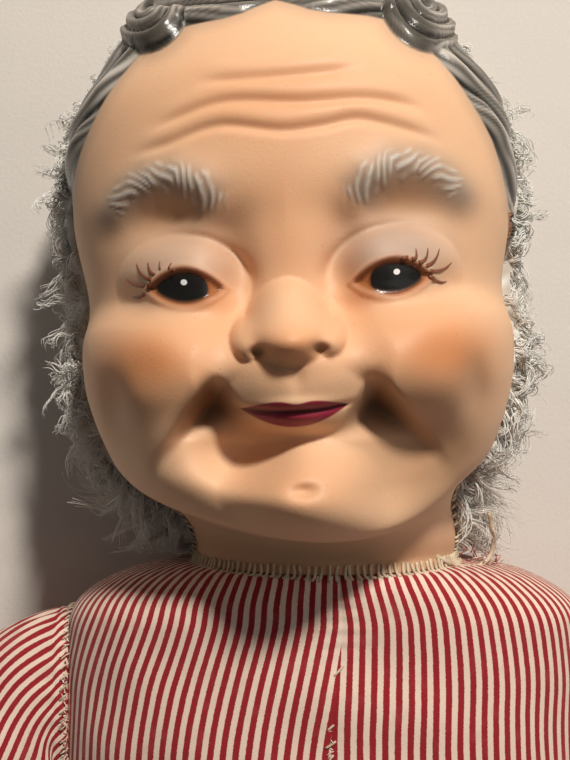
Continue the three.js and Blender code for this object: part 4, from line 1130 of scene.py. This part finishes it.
def leg_form(down, turn):
    """The leg: rounded boxes from the flat of the hip seam to the ankle, flat on the floor."""
    width, back, front = np.moveaxis(through(LEG_ROWS, down), -1, 0)
    x = LEG_U + width * signed_power(np.cos(turn), 0.9)
    z = (back + front) / 2 + (front - back) / 2 * signed_power(np.sin(turn), 0.9)
    return np.stack(np.broadcast_arrays(x, LEG_START - down, np.maximum(z, 0)), -1)


def slipper_form(t, turn):
    """The slipper: rounded boxes stacked from the heel on the floor up to the toe."""
    high, wide = np.moveaxis(through(SLIPPER_ROWS, t), -1, 0)
    near = SLIPPER_SOLE + (SLIPPER_TOP - SLIPPER_SOLE) * np.minimum(1, high)
    x = LEG_U + SLIPPER_HALF_WIDTH * wide * signed_power(np.cos(turn), 0.85)
    y = (near + SLIPPER_SOLE) / 2 + (near - SLIPPER_SOLE) / 2 * signed_power(np.sin(turn), 0.85)
    return np.stack(np.broadcast_arrays(x, y, SLIPPER_LENGTH * t), -1)


def capped(points):
    """A tube of rings with both ends drawn in to a point at the middle of its last rings."""
    share = np.array((1.0, 0.6, 0.25, 0.0))[:, None, None]
    first, last = points[:1].mean(1, keepdims=True), points[-1:].mean(1, keepdims=True)
    start = (first + (points[:1] - first) * share)[:0:-1]
    end = (last + (points[-1:] - last) * share)[1:]
    return np.concatenate([start, points, end])


def capped_map(uv):
    """The map of a tube whose ends were drawn in: that of its last rings, repeated."""
    return np.pad(uv, [(3, 3), (0, 0), (0, 0)], mode="edge")


def around(count):
    """Angles once round, without the last."""
    return np.arange(count) * TAU / count


def flipped_side(points, side):
    """Points of the left limb, or mirrored for the right one."""
    return points * (side, 1, 1)


def ring_map(points):
    """A map in millimetres round a tube: the way round each ring, and the mean way along."""
    step = np.linalg.norm(np.roll(points, -1, 1) - points, axis=-1)
    walked = np.cumsum(step, 1) - step
    along = np.concatenate([[0.0], np.cumsum(np.linalg.norm(np.diff(points, axis=0), axis=-1).mean(1))])
    return np.stack([walked, np.broadcast_to(along[:, None], walked.shape)], -1)


def soft(points, depth, size, seed):
    """Tube points moved in and out by even lumps, and not below the floor."""
    middle = points.mean(1, keepdims=True)
    return grounded(points + unit(points - middle) * (depth * lumps(points, size, seed))[..., None])


def hand_axes():
    """The wrist, the way that the arm points there and the way across it, level with the floor."""
    wrist, ahead = (value[0] for value in arm_line([1.0]))
    return wrist, ahead, unit(np.cross((0, 0, 1.0), ahead))


class DOLL_OT_arms(DollOperator, Operator):
    """Striped sleeves with plain cotton mitts"""
    bl_idname = "doll.arms"
    bl_label = "Arms"

    def build(self, scene):
        settings = scene.doll_cloth
        cloth, cotton = striped_cotton(settings, "striped_sleeve", 0.0), plain_cotton(settings)
        for seed, (name, side) in enumerate(SIDES):
            body = f"arm_{name}"
            points, uv = self.sleeve(seed)
            piece = add_sheet(f"sleeve_{name}", flipped_side(points, side), cloth, body, "striped_cotton", True, uv=uv,
                              replaces=(f"arm_cover_{name}", f"arm_stuffing_{name}"))
            points, faces = joined(*(flipped_side(form, side) for form in (self.palm(), self.thumb())))
            piece = add_piece(f"mitt_{name}", points, faces, cotton, body, "mitt", uv=points[:, :2],
                              replaces=(f"hand_{name}",))

    def sleeve(self, seed):
        """The sleeve with lumps of filling, a gathered top and a gathered wrist. Its stripes run along the arm: they
        are counted across its top line and by the way round it from there."""
        t = np.concatenate([[-0.01], np.linspace(0, 0.12, 24), np.linspace(0.13, 1, 86)])[:, None]
        columns, top = 120, 30
        turn = around(columns)[None]
        points = arm_form(t, turn)
        middle = arm_line(np.clip(t, 0, 1))[0]
        ends = (smoothstep(0.1, 0.0, t) + smoothstep(0.9, 1.0, t)) * smoothstep(0, 0.02, t)
        height = (0.9 * lumps(points, 26.0, seed + 31) * smoothstep(0.0, 0.15, t)
                  + 0.45 * np.sin(turn * 26 + 1.5 * np.sin(3 * turn)) * ends)
        points = grounded(points + unit(points - middle) * height[..., None])
        points[..., 0] = np.maximum(points[..., 0], np.where(t < 0, ARM_SEAM_X, ARM_ROOT[0]))
        beside = np.array((-STRIPE_WAY[1], STRIPE_WAY[0], 0))
        step = np.roll(np.linalg.norm(np.roll(points, -1, 1) - points, axis=-1), top, 1)
        over = np.roll(np.cumsum(step, 1) - step - step[:, :2 * top].sum(1, keepdims=True), -top, 1)
        uv = np.stack([(points[:, top:top + 1] - ARM_ROOT) @ beside - over, (points - ARM_ROOT) @ STRIPE_WAY], -1)
        return capped(points), capped_map(uv)

    def palm(self):
        """The mitt: ovals from the wrist to the finger end, flat on the floor."""
        rows = np.array([(0, 15.8, 15.8), (0.2, 17, 14), (0.55, 19, 12), (0.85, 15.2, 9.6), (1, 5.7, 3.6)], float)
        t, turn = np.linspace(0, 1, 60)[:, None], around(64)[None]
        wrist, ahead, across = hand_axes()
        wide, thick = np.moveaxis(through(rows, t), -1, 0)
        centre = wrist + ahead * (0.3 + t * HAND_LENGTH)[..., None]
        centre[..., 2] += (HAND_HALF_THICKNESS - 0.5 - centre[..., 2]) * smoothstep(0, 0.5, t)
        points = (centre + (wide * np.cos(turn))[..., None] * across
                  + (thick * np.sin(turn))[..., None] * np.cross(ahead, across))
        return soft(capped(points), 0.5, 14.0, 41)

    def thumb(self):
        """The thumb: an oval ball that leans along the mitt's inner edge."""
        half, radius = 13.0, 7.5
        wrist, ahead, across = hand_axes()
        reach = unit(across + 0.9 * ahead)
        up = np.array((0, 0, 1.0))
        t, turn = np.linspace(0.01, np.pi - 0.01, 30)[:, None], around(40)[None]
        seat = wrist + ahead * (HAND_LENGTH * 0.42) + across * (HAND_HALF_WIDTH - 3)
        seat[2] = HAND_HALF_THICKNESS
        ring = np.cos(turn)[..., None] * np.cross(up, reach) + np.sin(turn)[..., None] * up
        points = seat + half * np.cos(t)[..., None] * reach + radius * np.sin(t)[..., None] * ring
        return soft(capped(points), 0.3, 12.0, 42)


def joined(*grids):
    """Points and outward faces of several closed tubes as one mesh."""
    points, faces, count = [], [], 0
    for grid in grids:
        flat = grid.reshape(-1, 3)
        faces.append(outward(flat, grid_faces(*grid.shape[:2], wrap=True)) + count)
        points.append(flat)
        count += len(flat)
    return np.concatenate(points), np.concatenate(faces)


class DOLL_OT_legs(DollOperator, Operator):
    """Striped legs with felt slippers and soles"""
    bl_idname = "doll.legs"
    bl_label = "Legs and slippers"

    def build(self, scene):
        settings = scene.doll_cloth
        cloth = striped_cotton(settings, "striped_leg", 0.0)
        upper, under = felt(settings, "felt_upper", 1.0), felt(settings, "felt_sole", 0.45)
        down, t, turn = np.linspace(0, LEG_LENGTH, 110)[:, None], np.linspace(0, 1, 70)[:, None], around(120)[None]
        ends = smoothstep(26, 4, down) + smoothstep(LEG_LENGTH - 10, LEG_LENGTH, down)
        gather = 0.35 * np.sin(turn * 30) * ends
        for seed, (name, side) in enumerate(SIDES):
            body = f"leg_{name}"
            points = soft(leg_form(down, turn), 0.8, 26.0, seed + 51)
            points = grounded(points + unit(points - points.mean(1, keepdims=True)) * gather[..., None])
            uv = capped_map(ring_map(points))
            points = flipped_side(capped(points), side)
            piece = add_sheet(f"stocking_{name}", points, cloth, body, "striped_cotton", True, uv=uv,
                              replaces=(f"leg_cover_{name}", f"leg_stuffing_{name}"))
            shoe = soft(capped(slipper_form(t, turn)), 0.3, 9.0, seed + 61)
            shoe[..., 1] = np.maximum(shoe[..., 1], SLIPPER_SOLE)
            add_sheet(f"felt_slipper_{name}", flipped_side(shoe, side), upper, body, "felt", True,
                      replaces=(f"slipper_{name}",))
            add_sheet(f"felt_sole_{name}", flipped_side(self.sole(), side), under, body, "felt_sole", True,
                      replaces=(f"sole_{name}",))

    def sole(self):
        """The sole: the slipper's outline as a plate, its edge rounded by a half circle."""
        turn = around(96)
        t = np.linspace(-1, 1, 9)[:, None]
        length = 0.5 * SOLE_LENGTH * (1 - np.sin(turn))
        wide = SOLE_HALF_WIDTH * np.cos(turn) * (0.86 + 0.16 * np.sin(length / SOLE_LENGTH * np.pi))
        inset = 1 - 0.05 * (1 - np.sqrt(np.clip(1 - t * t, 0, 1)))
        x, z = LEG_U + wide * inset, SOLE_LENGTH / 2 + (length - SOLE_LENGTH / 2) * inset
        y = SLIPPER_SOLE - 0.3 - SOLE_THICKNESS / 2 * (1 + t)
        return capped(np.stack([x, y + 0 * x, z], -1))


# Stitching

class DOLL_OT_stitches(DollOperator, Operator):
    """Overcast neck, armholes, middle seam, hips and the edge of the mask"""
    bl_idname = "doll.stitches"
    bl_label = "Stitching"

    def build(self, scene):
        settings = scene.doll_cloth
        pitch, radius = settings.stitch / MM, settings.stitch_radius / MM
        yarn = sewing_thread(settings)
        rng = np.random.default_rng(77)
        add_piece("neck_stitches", *self.neck(rng, radius, pitch), yarn, "torso", "thread", replaces=("neck_thread",))
        add_piece("middle_stitches", *self.middle(rng, radius), yarn, "torso", "thread")
        for name, side in SIDES:
            add_piece(f"shoulder_stitches_{name}", *self.shoulder(rng, radius, side), yarn, "torso", "thread",
                      replaces=(f"shoulder_thread_{name}",))
            add_piece(f"hip_stitches_{name}", *self.hip(rng, radius, side), yarn, "torso", "thread",
                      replaces=(f"hip_seam_{name}",))
            add_piece(f"mask_stitches_{name}", *self.mask_edge(rng, radius, side), yarn, "head", "thread")
        points, faces, dye = self.frayed(rng)
        add_piece("frayed_ends", points, faces, frayed_cotton(settings), "torso", "striped_cotton", values={"dye": dye})

    def frayed(self, rng):
        """Ends of cloth thread along the middle seam, the armholes and beside the neck: short curves that leave the
        seam at random and bend as the square of the way along them."""
        y = rng.uniform(-88, 56, 150)
        seam = torso_point(y, middle_seam(y), True) - (0, 0, 0.35)
        turn = rng.uniform(0.1, 2.7, 110)
        hole = np.stack([np.full(len(turn), ARM_SEAM_X + 0.3), ARMHOLE[1] + ARMHOLE_RADIUS * np.cos(turn),
                         ARMHOLE[2] + ARMHOLE_RADIUS * SEAM_FLAT * np.sin(turn) + 0.4], -1)
        collar = np.array((42.5, 85.0, 47.5)) + rng.normal(scale=(2.6, 0.9, 2.2), size=(46, 3))
        roots = np.concatenate([seam, hole, hole * (-1, 1, 1), collar])
        tufted = np.arange(len(roots)) >= len(roots) - len(collar)
        way = rng.normal(size=(len(roots), 3)) * (1, 0.7, 0.25) + (0, 0, 0.25)
        way[tufted] += (0.5, 1.0, 0.6)
        s = np.linspace(0, 1, 6)[None, :, None]
        reach = (np.where(tufted, 2.4, 0.9) * rng.uniform(0.5, 1.5, len(roots)))[:, None, None]
        curl = rng.normal(size=(len(roots), 3)) * (1, 1, 0.3)
        paths = roots[:, None] + reach * (s * unit(way)[:, None] + 0.5 * s ** 2 * unit(curl)[:, None])
        points, faces = threads(paths, 0.17 * (1 - 0.5 * s[..., 0]), 4)
        return points, faces, np.repeat(rng.random(len(roots)) < 0.3 + 0.2 * tufted, 6 * 4)

    def neck(self, rng, radius, pitch):
        """Stitches over the neck seam: from the cloth, a little below its edge, over it and into the collar. The end of
        the thread lies in a loop beside it, as a cubic curve through a few points."""
        count = int(TAU * NECK_RADIUS / pitch)
        turn = around(count) + rng.normal(scale=0.004, size=count)
        wrapped = (turn + np.pi) % TAU - np.pi
        front = np.abs(wrapped) < QUARTER
        heights = np.linspace(85.0, 79.0, 60)[:, None]
        sweep = np.where(front, wrapped / QUARTER, np.sign(wrapped) * (2 - np.abs(wrapped) / QUARTER))[None]
        cloth = np.where(front[None, :, None], torso_point(heights, sweep, True), torso_point(heights, sweep, False))
        walked = np.cumsum(np.linalg.norm(np.diff(cloth, axis=0, prepend=cloth[:1]), axis=-1), 0)
        low = cloth[np.argmax(walked > rng.uniform(1.0, 1.4, count), 0), np.arange(count)]
        slant = turn + rng.normal(scale=0.006, size=count)
        out, slanted = (np.stack([np.sin(a), np.zeros(count), np.cos(a)], -1) for a in (turn, slant))
        axis, up = np.array((0, 0, NECK_Z)), np.array((0, 1, 0))
        top = axis + slanted * (NECK_RADIUS - 0.1) + (NECK_Y + rng.uniform(2.4, 2.9, count))[:, None] * up
        edge = axis + out * (NECK_RADIUS + 0.6) + (NECK_Y + 0.2) * up
        s = np.linspace(0, 1, 7)[None, :, None]
        start, edge, top = (low + out * 0.05)[:, None], edge[:, None], top[:, None]
        paths = (1 - s) ** 2 * start + 2 * s * (1 - s) * (2 * edge - 0.5 * start - 0.5 * top) + s ** 2 * top
        points, faces = threads(paths, 1.15 * radius, 6)
        tail = np.array([(0, 28, 88.2, 63), (1, 32, 86, 59.5), (2, 37, 84.2, 54.5), (3, 41.5, 84, 50),
                         (4, 44.5, 86.5, 48.5), (5, 45.3, 91, 49.5), (6, 44.4, 95, 51), (7, 43.6, 98.3, 52)], float)
        loop, round_it = threads(through(tail, np.linspace(0, 7, 40))[None], 1.9 * radius, 6)
        return np.concatenate([points, loop]), np.concatenate([faces, round_it + len(points)])

    def middle(self, rng, radius):
        """Loose slanting stitches across the seam between the front panels, on the cloth."""
        y = np.concatenate([np.arange(-80, 42, 4.6), np.arange(43, 62, 6.0)])
        y = y + rng.uniform(-0.9, 0.9, len(y))
        x = np.linspace(-1, 1, 6)[None] * rng.uniform(0.7, 1.3, (len(y), 1))
        height = y[:, None] + x * rng.uniform(0.3, 1.3, (len(y), 1))
        seam = torso_point(height, middle_seam(height), True)
        z = seam[..., 2] + 0.25 * (1 - x * x) - 0.3
        return threads(np.stack([seam[..., 0] + x, height, z], -1), radius, 5)

    def shoulder(self, rng, radius, side):
        """Whip stitches round an armhole: half loops over the seam between body and sleeve."""
        count = 58
        turn = around(count) + rng.normal(scale=0.02, size=count)
        s = np.linspace(-1, 1, 7)[None]
        angle = turn[:, None] + 0.035 * s
        away = ARMHOLE_RADIUS + 0.35 + 0.55 * (1 - s * s)
        x = ARMHOLE[0] + 0.7 + 1.1 * s + 0 * angle
        rise = np.sin(angle) * np.where(np.sin(angle) > 0, SEAM_FLAT, 1)
        paths = np.stack([side * x, ARMHOLE[1] + away * np.cos(angle), ARMHOLE[2] + away * rise], -1)
        return threads(paths, 0.6 * radius, 5)

    def hip(self, rng, radius, side):
        """Whip stitches round the rolled hip seam: open loops side by side along it."""
        count, roll, seam_y, seam_z = 30, 1.25, -94.0, 10.0
        x = LEG_U + np.linspace(-23.5, 23.5, count) + rng.normal(scale=0.15, size=count)
        turn = np.linspace(0, TAU, 12)[None]
        paths = np.broadcast_arrays(side * (x[:, None] + 0.6 * np.sin(turn / 2)), seam_y + roll * np.cos(turn),
                                    seam_z + roll * np.sin(turn))
        return threads(np.stack(paths, -1), radius, 5)

    def mask_edge(self, rng, radius, side):
        """Stitches from the edge of the mask out into the plush, low on the side of the neck."""
        place = (np.linspace(0.3, 3.6, 17) + rng.normal(scale=0.03, size=17))[:, None]
        s = np.linspace(0, 1, 6)[None]
        mask, plush = front_form(place, np.radians(76))[:3], back_form(place, np.radians(88), 2.0)
        u, v, z = (a + (b - a) * s for a, b in zip(mask, plush))
        bow = 0.9 * np.sin(np.pi * s)
        return threads(lean(side * (u + bow + 0.2), v + 0.6 * s, z + bow * 0.6), radius, 5)


class DOLL_OT_stage(DollOperator, Operator):
    """Floor, lamps and camera"""
    bl_idname = "doll.stage"
    bl_label = "Stage"

    def build(self, scene):
        settings = scene.doll_stage
        scene.view_settings.view_transform = "Standard"
        f = Finish("pale_sheet", Roughness=0.95)
        weave = f.noise(1.2, 3.0)
        f.bump(f.noise(60.0) * 0.7 + weave * 0.05, 2.0)
        mesh = bpy.data.meshes.new("pale_floor")
        corners = np.array([(-1, -1), (1, -1), (1, 1), (-1, 1)]) * FLOOR_HALF
        mesh.from_pydata([(x * MM, y * MM, FLOOR_Z * MM) for x, y in corners], [], [(0, 1, 2, 3)])
        mesh.materials.append(f.finish(f.mix(settings.floor, tuple(c * 0.94 for c in settings.floor), weave * 0.6)))
        floor = bpy.data.objects.new("pale_floor", mesh)
        scene.collection.objects.link(floor)
        for name, at, towards, size, share, tint in LAMPS:
            self.lamp(scene, name, np.array(at) * MM, np.array(towards) * MM, size, settings.key * share, tint)
        scene.world = bpy.data.worlds.new("even_light")
        scene.world.use_nodes = True
        light = scene.world.node_tree.nodes["Background"].inputs
        light[0].default_value, light[1].default_value = (1.0, 0.97, 0.94, 1), settings.fill
        camera = bpy.data.cameras.new("camera")
        camera.sensor_fit, camera.sensor_width, camera.sensor_height = "VERTICAL", SENSOR, SENSOR
        camera.lens = FOCAL_PIXELS * SENSOR / PICTURE_PIXELS
        camera.clip_start = 0.01
        scene.camera = bpy.data.objects.new("camera", camera)
        scene.camera.location = (CAMERA_X * MM, CAMERA_Y * MM, settings.height)
        scene.collection.objects.link(scene.camera)

    def lamp(self, scene, name, at, towards, size, power, tint):
        """A round area lamp that looks at a point."""
        data = bpy.data.lights.new(name, "AREA")
        data.shape, data.size, data.energy, data.color = "DISK", size, power, tint
        lamp = bpy.data.objects.new(name, data)
        lamp.location = at
        lamp.rotation_euler = mathutils.Vector(towards - at).to_track_quat("-Z", "Y").to_euler()
        scene.collection.objects.link(lamp)


class DOLL_PT_pieces(Panel):
    """The doll's pieces and their settings"""
    bl_label = "Rubber face doll"
    bl_idname = "DOLL_PT_pieces"
    bl_space_type = "VIEW_3D"
    bl_region_type = "UI"
    bl_category = "Doll"

    def draw(self, context):
        for operator in OPERATORS:
            self.layout.operator(operator.bl_idname)
        for name, group in SETTINGS.items():
            box = self.layout.box()
            for key in group.__annotations__:
                box.prop(getattr(context.scene, name), key)


SETTINGS = {"doll_face": DollFaceSettings, "doll_cloth": DollClothSettings, "doll_plush": DollPlushSettings,
            "doll_stage": DollStageSettings}
OPERATORS = (DOLL_OT_stage, DOLL_OT_face, DOLL_OT_plush, DOLL_OT_torso, DOLL_OT_arms, DOLL_OT_legs, DOLL_OT_stitches)
CLASSES = (*SETTINGS.values(), *OPERATORS, DOLL_PT_pieces)


def register():
    for cls in CLASSES:
        bpy.utils.register_class(cls)
    for name, group in SETTINGS.items():
        setattr(bpy.types.Scene, name, PointerProperty(type=group))


def unregister():
    for name in SETTINGS:
        delattr(bpy.types.Scene, name)
    for cls in reversed(CLASSES):
        bpy.utils.unregister_class(cls)


def main():
    register()
    bpy.ops.doll.stage()
    bpy.ops.doll.face()
    bpy.ops.doll.plush()
    bpy.ops.doll.torso()
    bpy.ops.doll.arms()
    bpy.ops.doll.legs()
    bpy.ops.doll.stitches()


if __name__ == "__main__":
    main()
